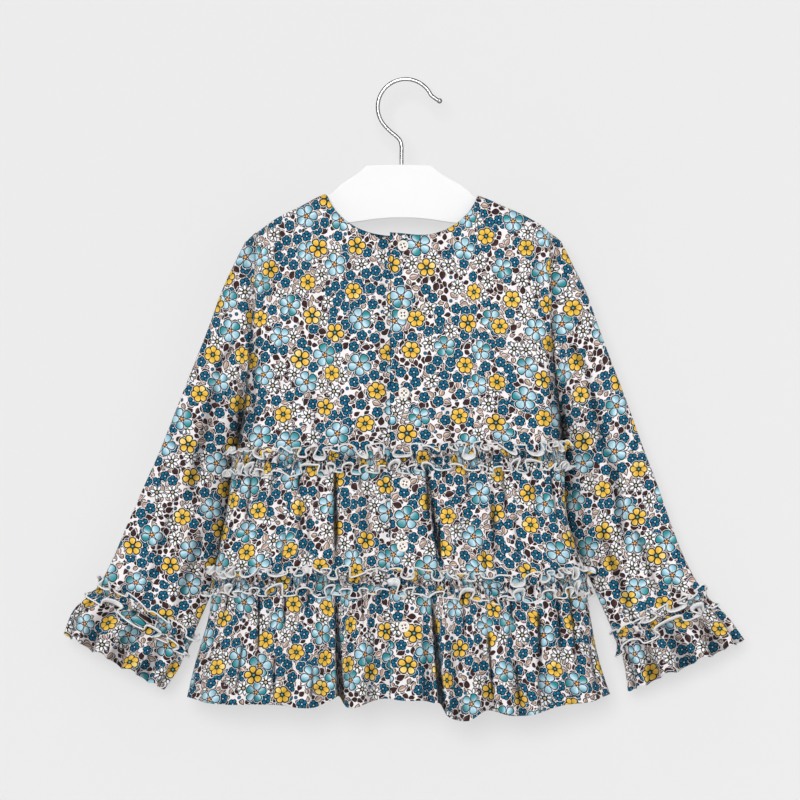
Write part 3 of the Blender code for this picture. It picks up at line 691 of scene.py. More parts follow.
def ringTurns(count, start=math.pi):
    # angles of a ring's points
    return start + np.arange(count) * 2 * math.pi / count


def clothMap(u, v, place=(0, 0)):
    # map of the cloth: distances along and up it, moved to its own place in the print
    u, v = np.broadcast_arrays(u, v)
    return np.stack([u + place[0], v + place[1]], -1)


def runLength(points):
    # distance along a row of points
    return np.concatenate([[0], np.cumsum(np.linalg.norm(np.diff(points, axis=0), axis=1))])


def panelColumns(first, last, z, side, step):
    # positions across at even steps of cloth
    c = np.sin(np.linspace(math.asin(first), math.asin(last), 6000))
    run = runLength(bodyPoint(c, np.full(c.shape, float(z)), side, 0.0))
    return np.interp(np.linspace(0, run[-1], int(run[-1] / step) + 2), run, c)


def underlap(x):
    return -body["sunk"] * ease((x + 34) / 16)


def creaseField(x, z, table, sharp=1.0):
    # sum of troughs (deep under 0) and ridges: a bell across each line, fading at its ends.  Its left
    # side is narrower by sharp, as where cloth laps over
    total = np.zeros(np.broadcast(x, z).shape)
    for x1, z1, x2, z2, wide, deep in table:
        dx, dz = x2 - x1, z2 - z1
        length = math.hypot(dx, dz)
        along = ((x - x1) * dx + (z - z1) * dz) / length ** 2
        aside = ((x - x1) * dz - (z - z1) * dx) / length
        fade = ease((along + 0.12) / 0.3) * ease((1.12 - along) / 0.5)
        reach = wide * np.where(aside < 0, sharp, 1.0)
        total += deep * fade * np.exp(-(aside / reach) ** 2)
    return total


def skinOff(c, z):
    # the outer face, drawn in at the shoulder so that back and front meet there
    near = ease(shoulderDrop(c, z) / 0.35)
    return body["clothThick"] + (body["skin"] - body["clothThick"]) * near


bodice = {
    "step": 2.8,
    "rows": 96,
    "topHeight": -120.0,     # mean heights of its top and foot
    "footHeight": -380.0,
    "overlapStep": 0.9,      # from the upper flap's edge to the next column
    "cornerRise": 3.6,       # of the upper flap at the neck
    "placket": 16.0,         # half width of the doubled strip under the buttons
    "mapRow": 60,            # row along which the print is measured
    # x, z from and to, half width, depth: soft creases of the back
    "creasesBack": (
        (-147, -250, -150, -345, 5, -1.6), (-139, -262, -128, -372, 9, 0.9),
        (-120, -150, -138, -230, 8, -0.8), (-100, -140, -112, -205, 10, 0.6),
        (-60, -180, -66, -250, 12, 0.5), (60, -175, 72, -245, 12, 0.5),
        (-92, -300, -84, -370, 8, -0.9), (-40, -330, -36, -374, 6, -0.7),
        (44, -322, 50, -372, 7, -0.8), (96, -290, 92, -372, 9, -0.8),
        (128, -155, 140, -235, 8, -0.8), (138, -262, 130, -368, 8, 0.9),
        (148, -245, 152, -340, 5, -1.5), (18, -240, 20, -330, 9, 0.35),
    ),
    "creasesFront": (
        (-145, -250, -150, -345, 6, -1.5), (-118, -155, -134, -235, 9, -0.8),
        (-70, -300, -64, -372, 8, -0.9), (-20, -310, -22, -372, 8, -0.8),
        (30, -305, 36, -370, 8, -0.9), (84, -300, 78, -372, 9, -0.8),
        (122, -160, 136, -240, 8, -0.8), (147, -250, 151, -338, 6, -1.4),
    ),
    "pieces": (
        # name, node, first, last, side, neck, sunk, print offset, flat size and area
        ("bodiceBackLeft", "bodice_back_left", -1, "lower", -1, "neckBack", True, (13, 40),
         (0.17, 0.27), 0.042),
        ("bodiceBackRight", "bodice_back_right", "upper", 1, -1, "neckBack", False, (410, -90),
         (0.17, 0.27), 0.042),
        ("bodiceFront", "bodice_front", -1, 1, 1, "neckFront", False, (830, 70),
         (0.32, 0.27), 0.075),
    ),
}


def flapEdge(which):
    if which == "upper":
        return body["upperFlap"] / body["chest"]
    if which == "lower":
        return body["lowerFlap"] / body["chest"]
    return float(which)


def makeBodice():
    # rows run from the shoulder or neckline to the first seam, columns across
    made = []
    for name, node, first, last, side, neck, sunk, place, flat, area in bodice["pieces"]:
        columns = panelColumns(flapEdge(first), flapEdge(last), bodice["topHeight"], side,
                               bodice["step"])
        if first == "upper":
            columns = np.insert(columns, 1, columns[0] + bodice["overlapStep"] / body["chest"])
        x = across(columns, bodice["topHeight"])
        inNeck = np.abs(x) < body["neckHalf"]
        top = np.where(inNeck, neckHeight(x, body[neck]), shoulderHeight(x))
        if first == "upper":
            top = top + bodice["cornerRise"] * (1 - ease((x - body["upperFlap"]) / 46))
        foot = smoothCurve(across(columns, bodice["footHeight"]), body["seamUpper"]) + body["gap"]
        share = np.linspace(0, 1, bodice["rows"])[:, None] ** 1.3
        z = top + (foot - top) * share
        c = np.broadcast_to(columns, z.shape)
        xs = across(c, z)
        creases = bodice["creasesBack"] if side < 0 else bodice["creasesFront"]
        soft = ease(shoulderDrop(c, z)) * ease((1 - np.abs(c)) / 0.03)
        off = skinOff(c, z) + creaseField(xs, z, creases) * soft
        pull = np.sin(xs * 0.62 + 1.3 * np.sin(xs * 0.11)) * np.exp((foot - z) / 9.0)
        off = off + 0.5 * pull * ease((1 - np.abs(c)) / 0.06)
        if side < 0:
            off = off + np.where(np.abs(xs) < bodice["placket"], 0.12, 0.0) * np.sin(z * 0.09)
        if sunk:
            off = off + underlap(xs)
        grid = bodyPoint(c, z, side, off)
        # painted shade: darker in troughs, towards the side edges, just inside the neckline, and
        # along the upper flap's edge and at the top of the cloth under it
        low = ease((-290 - z) / 70)
        paintedShade = troughs(off, 5, 1.1) * 0.5 + (0.1 + 0.7 * low) * ease((np.abs(c) - 0.965) / 0.035)
        paintedShade = paintedShade + 0.3 * low * ease((np.abs(c) - 0.86) / 0.14)
        paintedShade = paintedShade + 0.7 * ease((-210 - z) / 40) * ease((np.abs(c) - 0.985) / 0.015)
        paintedShade = paintedShade + 0.5 * inNeck * np.exp(-(top - z) / 1.3)
        if sunk:
            paintedShade = paintedShade + 0.9 * np.exp(-(top - z) / 2.0) * ease((xs + 36) / 14)
        elif first == "upper":
            paintedShade[:, 0] = 0.85
        run = runLength(grid[bodice["mapRow"]])
        uv = clothMap(run, z, place)
        piece = clothPiece(name, grid, uv, node, paintedShade, flip=side > 0)
        made.append((piece, flat, area))
    return made


tiers = {
    "stepBack": 1.15,
    "stepFront": 3.2,
    "rows": 66,
    "reach": 8,              # columns to each side that a trough is measured against
    "lap": 0.4,              # share of a crease's width left to its steeper side
    "pucker": 1.5,           # height of the little gathers under the top seam
    "puckerFoot": 0.9,
    "swallowed": 0.9,        # cloth that a crease hides
    "mapRow": {2: 45, 3: -12},
    "shade": {2: 0.03, 3: 0.07},
    "printStep": 37,         # from one tier to the next in the print
    "cutTall": 0.125,
    "cutWider": {2: 1.0, 3: 1.17},
    "drawsHem": 5.0,         # folds deeper than this lift the hem
    "hemLift": 0.5,
    "phaseBack": 0.4,
    "phaseFront": 1.7,
    # tier: top seam, foot back, foot front, mean heights, waves, depth
    2: ("seamUpper", "seamLower", "seamLower", -379.0, -502.0, 12, 3.6),
    3: ("seamLower", "hemBack", "hemFront", -502.0, -623.0, 15, 5.5),
    "fullness": {2: ((0, 0), (0.14, 0.3), (0.5, 1), (0.86, 0.28), (1, 0)),
                 3: ((0, 0), (0.14, 0.21), (0.42, 0.5), (0.72, 0.77), (1, 1))},
    # tier, across at its top and at its foot, half width, depth inwards
    "mainFolds": ((2, -67, -66, 3.4, 3.4), (2, 25, 37, 3.4, 3.8), (2, -100, -104, 4, 2.2),
                  (2, 88, 93, 4, 2.2), (3, -67, -63, 4.2, 9.0), (3, 28, 38, 4.4, 9.0),
                  (3, 135, 137, 3.4, 2.0)),
    # x, z from and to, half width, depth
    "creases": {
        2: ((-102, -390, -103, -412, 2.0, -3.0), (-66, -388, -66, -472, 2.4, -3.2),
            (-41, -385, -42, -410, 2.0, -2.6), (-46, -446, -45, -476, 2.0, -2.2),
            (25, -384, 27, -442, 2.4, -3.4), (37, -440, 39, -488, 2.4, -3.0),
            (44, -386, 45, -406, 1.8, -2.4), (-128, -390, -134, -440, 2.8, -2.0),
            (-84, -388, -82, -420, 2.0, -1.8), (64, -386, 67, -424, 2.0, -2.0),
            (100, -384, 106, -450, 2.8, -2.2), (128, -384, 134, -424, 2.2, -1.8),
            (-150, -392, -157, -450, 2.4, -2.2), (-118, -452, -120, -494, 2.4, -1.8),
            (80, -458, 84, -498, 2.4, -2.0), (148, -386, 157, -450, 2.4, -2.2),
            (-30, -386, -30, -400, 1.6, -1.6), (112, -430, 118, -494, 2.6, -1.6),
            (-92, -430, -94, -490, 2.6, -1.5)),
        3: ((-173, -510, -176, -533, 2.0, -3.0), (-142, -508, -143, -577, 2.0, -3.2),
            (-116, -512, -117, -548, 2.2, -3.2), (-92, -506, -95, -536, 2.2, -2.2),
            (-40, -506, -38, -548, 2.0, -2.4), (60, -508, 64, -560, 2.4, -2.4),
            (86, -548, 92, -628, 2.2, -3.2), (108, -510, 111, -546, 2.2, -2.4),
            (137, -530, 139, -578, 2.4, -3.2), (155, -512, 160, -570, 2.4, -2.6),
            (168, -512, 176, -590, 2.4, -2.6), (-22, -506, -23, -536, 2.0, -2.0),
            (-126, -572, -128, -620, 2.8, -2.6), (-158, -560, -166, -618, 2.8, -2.4),
            (-88, -585, -90, -624, 2.8, -2.0), (12, -560, 16, -618, 3.0, -1.6),
            (114, -580, 118, -628, 2.8, -2.2), (188, -560, 196, -610, 2.6, -2.2)),
    },
    "pieces": (
        # name, node, first, last, side, sunk, print offset, width of the cut
        ("BackLeft", "_back_left", -1, "lower", -1, True, (37, 11), 0.22),
        ("BackRight", "_back_right", "upper", 1, -1, False, (660, -33), 0.22),
        ("Front", "_front", -1, 1, 1, False, (1210, 57), 0.40),
    ),
}


def waveTurn(c, waves, phase):
    return c * waves / 2 + 0.35 * np.sin(2.6 * c + phase) + 0.16 * np.sin(7.3 * c + 2 * phase)


def gathers(c, full, waves, depth, phase):
    # uneven waves with round crests and tighter troughs, dying out at the side seams
    tall = 0.72 + 0.28 * np.sin(4.1 * c + 3 * phase)
    turn = 2 * math.pi * waveTurn(c, waves, phase)
    shape = np.cos(turn) - 0.16 * np.cos(2 * turn)
    return depth * tall * full * (1 - np.abs(c) ** 10) * shape


def puckers(x, down, seed):
    # the tight little gathers under a seam, each with its own length
    turn = x * 0.86 + 1.4 * np.sin(x * 0.13 + seed) + 0.8 * np.sin(x * 0.41 + 2 * seed)
    reach = 13 + 9 * np.sin(x * 0.23 + 3 * seed) + 6 * np.sin(x * 0.57 + seed)
    return np.sin(turn) * np.exp(-down / np.maximum(reach, 5)) * (0.75 + 0.4 * np.sin(x * 0.31))


def hemLift(x):
    # the hem is drawn up where a deep fold reaches it
    lifts = [tiers["hemLift"] * deep * np.exp(-((x - to) / half) ** 2)
             for _, _, to, half, deep in tiers["mainFolds"] if deep > tiers["drawsHem"]]
    return sum(lifts)


def mainFolds(number, x, t):
    # depth of the folds that run the whole height of a tier, t from its top to its foot
    total = np.zeros(x.shape)
    for tier, at, to, half, deep in tiers["mainFolds"]:
        if tier == number:
            aside = (x - at - (to - at) * t) / half
            aside = np.where(aside < 0, aside / tiers["lap"], aside)
            total += deep * np.exp(-aside ** 2)
    return total


def makeTiers():
    # rows run from each tier's top seam to its foot, columns across
    made = []
    for number in (2, 3):
        seamTop, footBack, footFront, zTop, zFoot, waves, depth = tiers[number]
        fullTable = np.array(tiers["fullness"][number]).T
        for label, tail, first, last, side, sunk, place, wide in tiers["pieces"]:
            step = tiers["stepBack" if side < 0 else "stepFront"]
            columns = panelColumns(flapEdge(first), flapEdge(last), zFoot, side, step)
            top = smoothCurve(across(columns, zTop), body[seamTop]) - body["gap"]
            foot = smoothCurve(across(columns, zFoot), body[footBack if side < 0 else footFront])
            if number == 2:
                foot = foot + body["gap"]
            elif side < 0:
                foot = foot + hemLift(across(columns, zFoot))
            share = np.linspace(0, 1, tiers["rows"])[:, None]
            z = top + (foot - top) * share
            t = np.broadcast_to(share, z.shape)
            c = np.broadcast_to(columns, z.shape)
            x = across(c, z)
            full = np.interp(t, *fullTable)
            phase = tiers["phaseBack"] if side < 0 else tiers["phaseFront"]
            off = gathers(c, full, waves, depth, phase)
            table = tiers["creases"][number]
            if side > 0:
                table = [(-x1, z1, -x2, z2, half, deep) for x1, z1, x2, z2, half, deep in table]
            edgeFade = ease((1 - np.abs(c)) / 0.03)
            creases = creaseField(x, z, table, tiers["lap"]) * edgeFade
            if side < 0:
                creases = creases - full * mainFolds(number, x, t)
            tight = puckers(x, top - z, number + side)
            off = off + creases + tiers["pucker"] * tight * edgeFade
            if number == 2:
                atFoot = puckers(x, z - foot, number + side + 5)
                off = off + tiers["puckerFoot"] * atFoot * edgeFade
            # the doubled strip under the buttons stays flat
            stand = ease((np.abs(x) - 15) / 9) if side < 0 else 1.0
            off = off * stand + body["skin"]
            if sunk:
                off = off + underlap(x)
            grid = bodyPoint(c, z, side, off)
            run = runLength(grid[tiers["mapRow"][number]]) * 1.06
            # each crease swallows some cloth, so that the print jumps across it
            hidden = np.cumsum(np.clip(-creases - 0.8, 0, 3), axis=1) * tiers["swallowed"]
            hidden = hidden - hidden[:, -1:] * run / run[-1]
            uv = clothMap(run + hidden, z + tiers["printStep"] * number, place)
            # painted shade: darker in troughs, under the top seam, in the creases and little gathers,
            # a little over each tier below its top, and along the upper flap's edge
            paintedShade = 0.42 * troughs(off, tiers["reach"], 2.8) + 0.5 * np.exp(-(top - z) / 4.0)
            paintedShade = paintedShade + np.clip(-creases / 3.1, 0, 1) ** 1.7 * stand
            paintedShade = paintedShade + 0.8 * np.clip(-tight - 0.3, 0, 1) * stand
            paintedShade = paintedShade + tiers["shade"][number] * ease((top - z) / 20)
            if first == "upper":
                paintedShade[:, 0] = 0.9
            piece = clothPiece("tier%d%s" % (number, label), grid, uv, "tier%d%s" % (number, tail),
                               paintedShade, flip=side > 0)
            made.append((piece, (wide * tiers["cutWider"][number], tiers["cutTall"]), None))
    return made


sleeves = {
    "columns": 84,
    "rows": 150,
    # outer across, height, depth, inner across, height, depth, half thickness
    "left": ((-157, -163, 0, -154, -272, 1, 13), (-168, -185, 1, -153.4, -278, 4, 14),
             (-180, -212, 2, -152.2, -288, 9, 14), (-192, -246, 3, -154, -302, 15, 14),
             (-207, -284, 4, -154, -320, 20, 13), (-224, -327, 6, -157, -346, 23, 12),
             (-242, -372, 8, -161, -380, 25, 12), (-259, -410, 9, -167, -420, 26, 12),
             (-275, -447, 10, -176, -466, 26, 11), (-289, -480, 10, -191, -510, 21, 10),
             (-304, -510, 10, -214, -563, 13, 9)),
    "right": ((159, -162, 0, 153, -272, 1, 13), (170, -184, 1, 152.4, -278, 4, 14),
              (183, -211, 2, 151.4, -288, 9, 14), (195, -245, 3, 153, -302, 15, 14),
              (208, -280, 4, 153, -320, 20, 13), (224, -322, 6, 155, -346, 23, 12),
              (239, -364, 8, 157, -380, 25, 12), (254, -403, 9, 161, -420, 26, 12),
              (269, -446, 10, 172, -460, 25, 11), (284, -483, 10, 192, -505, 20, 10),
              (304, -518, 10, 217, -561, 13, 9)),
    # x, z from and to, half width, depth: long soft creases, seen from the back
    "creasesLeft": ((-186, -300, -214, -420, 6, -2.4), (-205, -330, -246, -470, 9, 1.6),
                    (-172, -330, -190, -430, 6, 1.5), (-228, -420, -262, -520, 5, -2.0),
                    (-200, -450, -228, -530, 5, -1.8), (-168, -262, -192, -300, 5, -2.0),
                    (-178, -210, -200, -262, 8, 1.2), (-160, -300, -164, -372, 4, -2.0),
                    (-246, -470, -272, -530, 6, 1.4)),
    "creasesRight": ((211, -378, 222, -472, 4.5, -2.6), (186, -300, 206, -380, 6, -1.9),
                     (206, -330, 244, -470, 9, 1.6), (170, -330, 186, -430, 6, 1.5),
                     (226, -430, 262, -520, 5, -1.9), (200, -450, 230, -535, 5, -1.6),
                     (168, -262, 190, -300, 5, -2.0), (178, -210, 200, -262, 8, 1.2),
                     (160, -300, 164, -372, 4, -2.0), (246, -470, 274, -535, 6, 1.4)),
    "flounceLeft": ((-311, -516, 10, -218, -570, 12, 11), (-326, -530, 10, -225, -586, 12, 14),
                    (-336, -555, 10, -240, -608, 12, 16)),
    "flounceRight": ((311, -524, 10, 220, -568, 12, 11), (325, -539, 10, 225, -585, 12, 14),
                     (340, -561, 10, 229, -610, 12, 16)),
    "bridge": 6,             # rows from the armhole to the first ring
    # outwards and up from the back's creases to the front's, at both ends
    "aside": (12, -20, 9, -14),
    # painted shade behind the body's side: darkness, distance it fades over
    "tuckShade": ((0.80, 14.0), (0.5, 4.0)),
    "flat": (0.24, 0.38),
    "area": 0.068,
    "printLeft": (900, 215),
    "printRight": (1500, 260),
    "flounceWaves": 10,
    "flounceLifts": (0.0, 2.4, 4.0, 6.0),
    "flounceStart": 0.10,
    "flounceColumns": 330,
    "flounceRows": 32,
    "flounceFlat": (0.30, 0.055),
    "flouncePrintLeft": (2140, 53),
    "flouncePrintRight": (2600, 91),
}


def ringGrid(rows, count):
    # flattened rings from the inner point by the outer one and back, and their outward directions
    turn = ringTurns(count)
    outer = rows[:, None, [0, 2, 1]]
    inner = rows[:, None, [3, 5, 4]]
    half = rows[:, None, 6]
    span = inner - outer
    length = np.linalg.norm(span, axis=-1)
    share = (0.5 - 0.5 * np.cos(turn))[None, :, None]
    point = outer + span * share
    point[..., 1] += half * np.sin(turn)
    normal = -(np.cos(turn) * half / length)[..., None] * span
    normal[..., 1] += length / 2 * np.sin(turn)
    return point, unit(normal)


def denseRows(table, count):
    # a table of rings at even steps, smooth through its rows
    table = np.array(table, float)
    middle = (table[:, [0, 2, 1]] + table[:, [3, 5, 4]]) / 2
    run = runLength(middle)
    at = np.linspace(0, run[-1], count)
    dense = np.stack([smoothCurve(at, np.stack([run, col], -1)) for col in table.T], -1)
    return dense, run, at


def armholeRing(sign, count):
    # the body's side edge down the armhole, a little inside it where the cloth is tucked under
    turn = ringTurns(count)
    low = body["underarm"] + 1.9
    z = (body["tip"] + low) / 2 + (body["tip"] - low) / 2 * np.cos(turn)
    c = np.full(count, float(sign))
    deep, _, _ = section(c, z)
    lower = ease(((body["tip"] + body["underarm"]) / 2 - z) / (body["tip"] - body["underarm"]) * 2)
    x = across(c, z) + sign * (0.3 - 1.5 * lower)
    return np.stack([x, deep * np.sin(turn) / (np.abs(np.sin(turn)) + 1e-6), z], -1)


def closedRun(row):
    # distance round a closed row of points, ending at its first one again
    return runLength(np.concatenate([row, row[:1]]))


def tubeUv(grid, place, around):
    # map of a tube: given distances round it, and the way down by length
    down = runLength(grid.mean(axis=1))
    return clothMap(around, -down[:, None], place)


def sleeveUv(grid, place):
    # map of a sleeve laid flat: lengths round it from its outer edge against the way along that edge
    middle = grid.shape[1] // 2
    way = unit((grid[-1, middle] - grid[0, middle]) * (1, 0, 1))
    ring = np.concatenate([grid, grid[:, :1]], axis=1)
    aside = ring @ np.array([way[2], 0, -way[0]])
    step = np.hypot(np.diff(aside, axis=1), np.diff(ring[..., 1], axis=1))
    run = np.concatenate([np.zeros((len(grid), 1)), np.cumsum(step, axis=1)], axis=1)
    run -= run[:, middle:middle + 1]
    # the rows next to the armhole follow the first ring's map, moved as they lie
    first = sleeves["bridge"]
    outwards = np.sign(aside[first, middle] - aside[first, 0])
    face = np.clip((middle - np.arange(run.shape[1])) / 4, -1, 1)
    run[:first] = run[first] + (aside[:first] - aside[first]) * outwards * face
    return clothMap(run, -(ring @ way), place)


def makeSleeve(label, sign):
    # rings from the armhole to the wrist, creased on both faces
    rows, _, _ = denseRows(sleeves[label], sleeves["rows"])
    point, normal = ringGrid(rows, sleeves["columns"])
    creases = sleeves["creases" + label.capitalize()]
    back = np.clip(-normal[..., 1], 0, 1)
    front = np.clip(normal[..., 1], 0, 1)
    ax, az, bx, bz = sleeves["aside"]
    mirrored = [(x1 + ax * sign, z1 + az, x2 + bx * sign, z2 + bz, half, deep)
                for x1, z1, x2, z2, half, deep in creases]
    off = body["skin"] + creaseField(point[..., 0], point[..., 2], creases) * back
    off = off + creaseField(point[..., 0], point[..., 2], mirrored) * front
    turn = ringTurns(sleeves["columns"])
    near = np.exp(-np.arange(sleeves["rows"]) / 4.0)[:, None]
    off = off + 0.35 * near * np.sin(turn * 17 + np.sin(turn * 5))
    low = np.exp(-(sleeves["rows"] - 1 - np.arange(sleeves["rows"])) / 9.0)[:, None]
    off = off + 0.8 * low * np.sin(turn * 15 + 1.5 * np.sin(turn * 4))
    grid = point + normal * off[..., None]
    first = armholeRing(sign, sleeves["columns"])
    away = normal[0] * body["skin"] * (0.9 - 0.6 * ease((-200 - first[:, 2:]) / 40))
    bridge = np.linspace(0, 1, sleeves["bridge"] + 1)[:-1, None, None]
    grid = np.concatenate([(first + away) + (grid[0] - first - away) * ease(bridge), grid])
    place = sleeves["print" + label.capitalize()]
    # painted shade: darker where it goes behind the body's side, in the troughs and on the rows next
    # to the armhole
    edge = bodyEdges(point[..., 2])[0 if sign < 0 else 1]
    out = np.clip(sign * (point[..., 0] - edge), 0, None)
    tuckShade = sum(dark * np.exp(-out / fade) for dark, fade in sleeves["tuckShade"])
    tuckShade = tuckShade * ease((-300 - point[..., 2]) / 60) * ease((point[..., 2] + 545) / 60)
    paintedShade = troughs(off, 4, 1.0, closed=True) * 0.6 + tuckShade * back
    low = ease((-210 - grid[:sleeves["bridge"], :, 2]) / 40)
    paintedShade = np.concatenate([0.25 + 0.45 * low, paintedShade])
    piece = clothPiece("sleeve" + label.capitalize(), grid, sleeveUv(grid, place),
                       "sleeve_" + label, paintedShade, closed=True, flip=sign < 0)
    return [(piece, sleeves["flat"], sleeves["area"])]


def mixRows(a, b, share):
    return tuple(p + (q - p) * share for p, q in zip(a, b))


def makeFlounce(label, sign):
    # rings below the sleeve's lower seam, standing in waves that curl at the hem
    table = sleeves["flounce" + label.capitalize()]
    wrist = sleeves[label][-1]
    table = (mixRows(wrist, table[0], sleeves["flounceStart"]), *table)
    count = sleeves["flounceColumns"]
    rows, run, at = denseRows(table, sleeves["flounceRows"])
    lift = smoothCurve(at, np.stack([run, sleeves["flounceLifts"]], -1))[:, None]
    point, normal = ringGrid(rows, count)
    turn = ringTurns(count)
    share = (at / at[-1])[:, None]
    beat = turn * sleeves["flounceWaves"]
    broad = 0.3 + 0.7 * np.abs(np.sin(turn))
    wave = np.cos(beat) * broad
    fine = np.sin(beat * 3.1 + 1.7 * np.sin(turn * 3)) * broad
    tight = np.exp(-at / 9.0)[:, None] * np.sin(beat * 4 + 2 * np.sin(turn * 3 + sign))
    off = body["skin"] + lift * wave + 0.5 * share * fine + 0.7 * tight * broad
    tangent = unit(np.roll(point, -1, axis=1) - np.roll(point, 1, axis=1))
    sway = 1.7 * share ** 2 * np.sin(2 * beat) * broad
    grid = point + normal * off[..., None] + tangent * sway[..., None]
    grid[..., 2] += share ** 2 * (1.8 * np.cos(beat + 0.9) + 1.0 * np.cos(beat * 2 + 0.6)) * broad
    name = "cuffFlounce" + label.capitalize()
    place = sleeves["flouncePrint" + label.capitalize()]
    # painted shade: a little all over, more in the troughs and next to the seam
    paintedShade = 0.10 + 0.55 * troughs(off, 12, 2.6, closed=True) + 0.5 * np.exp(-at / 5.0)[:, None]
    around = closedRun(grid[len(grid) * 2 // 3]) * 0.95
    piece = clothPiece(name, grid, tubeUv(grid, place, around), "cuff_flounce_" + label,
                       paintedShade, closed=True, flip=sign < 0)
    return [(piece, sleeves["flounceFlat"], None)]


ruffles = {
    "halfRows": 12,
    "clear": 1.75,           # from the form to the stitching
    "perWave": 24,
    "thread": 0.84,
    "threadSides": 6,
    "upper": {"seam": "seamUpper", "height": -379.0, "waves": 46, "phase": 0.3, "half": 16.5,
              "flat": (0.95, 0.033), "place": (3100, 20), "lively": 1.12, "sway": 0.26},
    "lower": {"seam": "seamLower", "height": -502.0, "waves": 50, "phase": 1.1, "half": 16.5,
              "flat": (1.12, 0.033), "place": (4400, 50), "lively": 1.0, "sway": 0.25},
    "cuff": {"waves": 9, "half": 14.5, "flat": (0.30, 0.029), "lively": 1.45, "sway": 0.30,
             "placeLeft": (5800, 0), "placeRight": (6300, 0)},
    "easedIn": 0.9,          # share of the strip's edge that the print's map takes
}


def ruffleGrid(base, upWay, downWay, outWay, turn, spec, seed, weight):
    # a strip gathered along its middle: from the stitching each half turns away from the cloth by
    # an angle that swings along the strip, and its edge sways sideways so that the waves fold over
    # in loops.  Tight creases run from the stitching to both edges
    along = np.gradient(base, axis=0)
    pitch = np.linalg.norm(along, axis=-1).sum() / turn[-1]
    along = unit(along)
    rows = np.linspace(0, 1, ruffles["halfRows"])[:, None]
    step = spec["half"] / (ruffles["halfRows"] - 1)
    halves = []
    paintedShades = []
    for sign, way in ((1, upWay), (-1, downWay)):
        phase = turn + 0.28 * np.sin(turn * 1.3 + seed + sign) + 0.09 * np.sin(turn * 3.9 + 3 * seed)
        beat = 2 * math.pi * phase + 1.1 * sign
        tall = 0.60 + 0.24 * np.sin(turn * 2.1 + seed) + 0.18 * np.sin(turn * 5.3 + 2 * seed + sign)
        swing = (0.5 + 0.5 * np.cos(beat)) * np.clip(tall * spec["lively"], 0.15, 1) * weight
        flop = np.clip(np.sin(turn * 1.37 + 2.6 * seed + 2.1 * sign) - 0.35, 0, 1)
        lean = 10 + 9 * np.sin(turn * 0.9 + seed + sign) + 8 * np.sin(turn * 3.3 + 2 * seed)
        angle = np.radians(lean + (6 + 140 * swing + 85 * flop * swing) * rows ** 0.8)
        reach = 0.86 + 0.09 * np.sin(turn * 4.3 + seed + sign) + 0.07 * np.sin(turn * 7.9 - sign)
        out = reach * (np.cumsum(np.sin(angle) * step, axis=0) - np.sin(angle) * step)
        rise = reach * (np.cumsum(np.cos(angle) * step, axis=0) - np.cos(angle) * step)
        curl = spec["sway"] * pitch * (0.35 + 0.65 * tall) * weight
        curl = curl * rows ** 1.4 * np.sin(2 * beat + 0.3)
        crease = np.sin(beat * 3.6 + 2.4 * np.sin(turn * 2.3 + sign)) * weight
        near = np.exp(-rows / 0.35)
        ripple = crease * (0.75 * near + 0.45 * rows)
        half = (base + outWay * (ruffles["clear"] + 0.8 * near + out + ripple)[..., None]
                + way * rise[..., None] + along * curl[..., None])
        halves.append(half)
        # painted shade next to the stitching, in the creases' valleys and where a half stands only a
        # little away from the cloth
        valley = np.clip(-crease, 0, 1) ** 2
        paintedShades.append(0.20 * (1 - rows) ** 2 + (0.75 * near + 0.18) * valley
                     + 0.35 * (1 - rows) * np.clip(0.4 - swing, 0, 1))
    return (np.concatenate([halves[0][:0:-1], halves[1]]),
            np.concatenate([paintedShades[0][:0:-1], paintedShades[1]]))


def threadPiece(name, path, up, closed, radius=None, tint="thread"):
    # a round thread along an edge: a circle carried along the path, set across its direction
    if closed:
        tangent = np.roll(path, -1, axis=0) - np.roll(path, 1, axis=0)
    else:
        tangent = np.gradient(path, axis=0)
    tangent = unit(tangent)
    side = unit(np.cross(tangent, up))
    over = np.cross(side, tangent)
    turn = ringTurns(ruffles["threadSides"], 0)
    radius = radius or ruffles["thread"]
    ring = (np.cos(turn)[:, None, None] * side + np.sin(turn)[:, None, None] * over) * radius
    grid = np.transpose(path + ring, (1, 0, 2))
    if closed:
        grid = np.concatenate([grid, grid[:1]])
    run = runLength(grid[:, 0])
    girth = np.linspace(0, 2 * math.pi * radius, len(turn) + 1)
    piece = gridPiece(name, grid, clothMap(run[:, None], girth), (tint,), closed=True)
    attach(piece, "root")
    return piece


def bodyRing(z, count):
    # positions round the body from the upper flap's edge by the right side and the front back to it
    start = (body["upperFlap"] + 1) / body["chest"]
    end = (body["upperFlap"] - 2.5) / body["chest"]
    towards = 1 - (1 - np.linspace(0, 1, 800)) ** 3
    c = np.concatenate([start + (1 - start) * towards,
                        np.sin(np.linspace(math.pi / 2, -math.pi / 2, 1600)),
                        -1 + (end + 1) * (1 - towards[::-1])])
    side = np.concatenate([-np.ones(800), np.ones(1600), -np.ones(800)])
    zs = np.full(c.shape, z)
    point = bodyPoint(c, zs, side, 0.0)
    _, nx, ny = section(c, zs)
    turn = np.unwrap(np.arctan2(side * ny, nx))
    length = np.hypot(np.diff(point[:, 0]), np.diff(point[:, 1])) + 10 * np.abs(np.diff(turn))
    run = np.concatenate([[0], np.cumsum(length)])
    place = np.interp(np.linspace(0, run[-1], count), run, np.arange(len(c)))
    return np.interp(place, np.arange(len(c)), c), side[np.round(place).astype(int)]


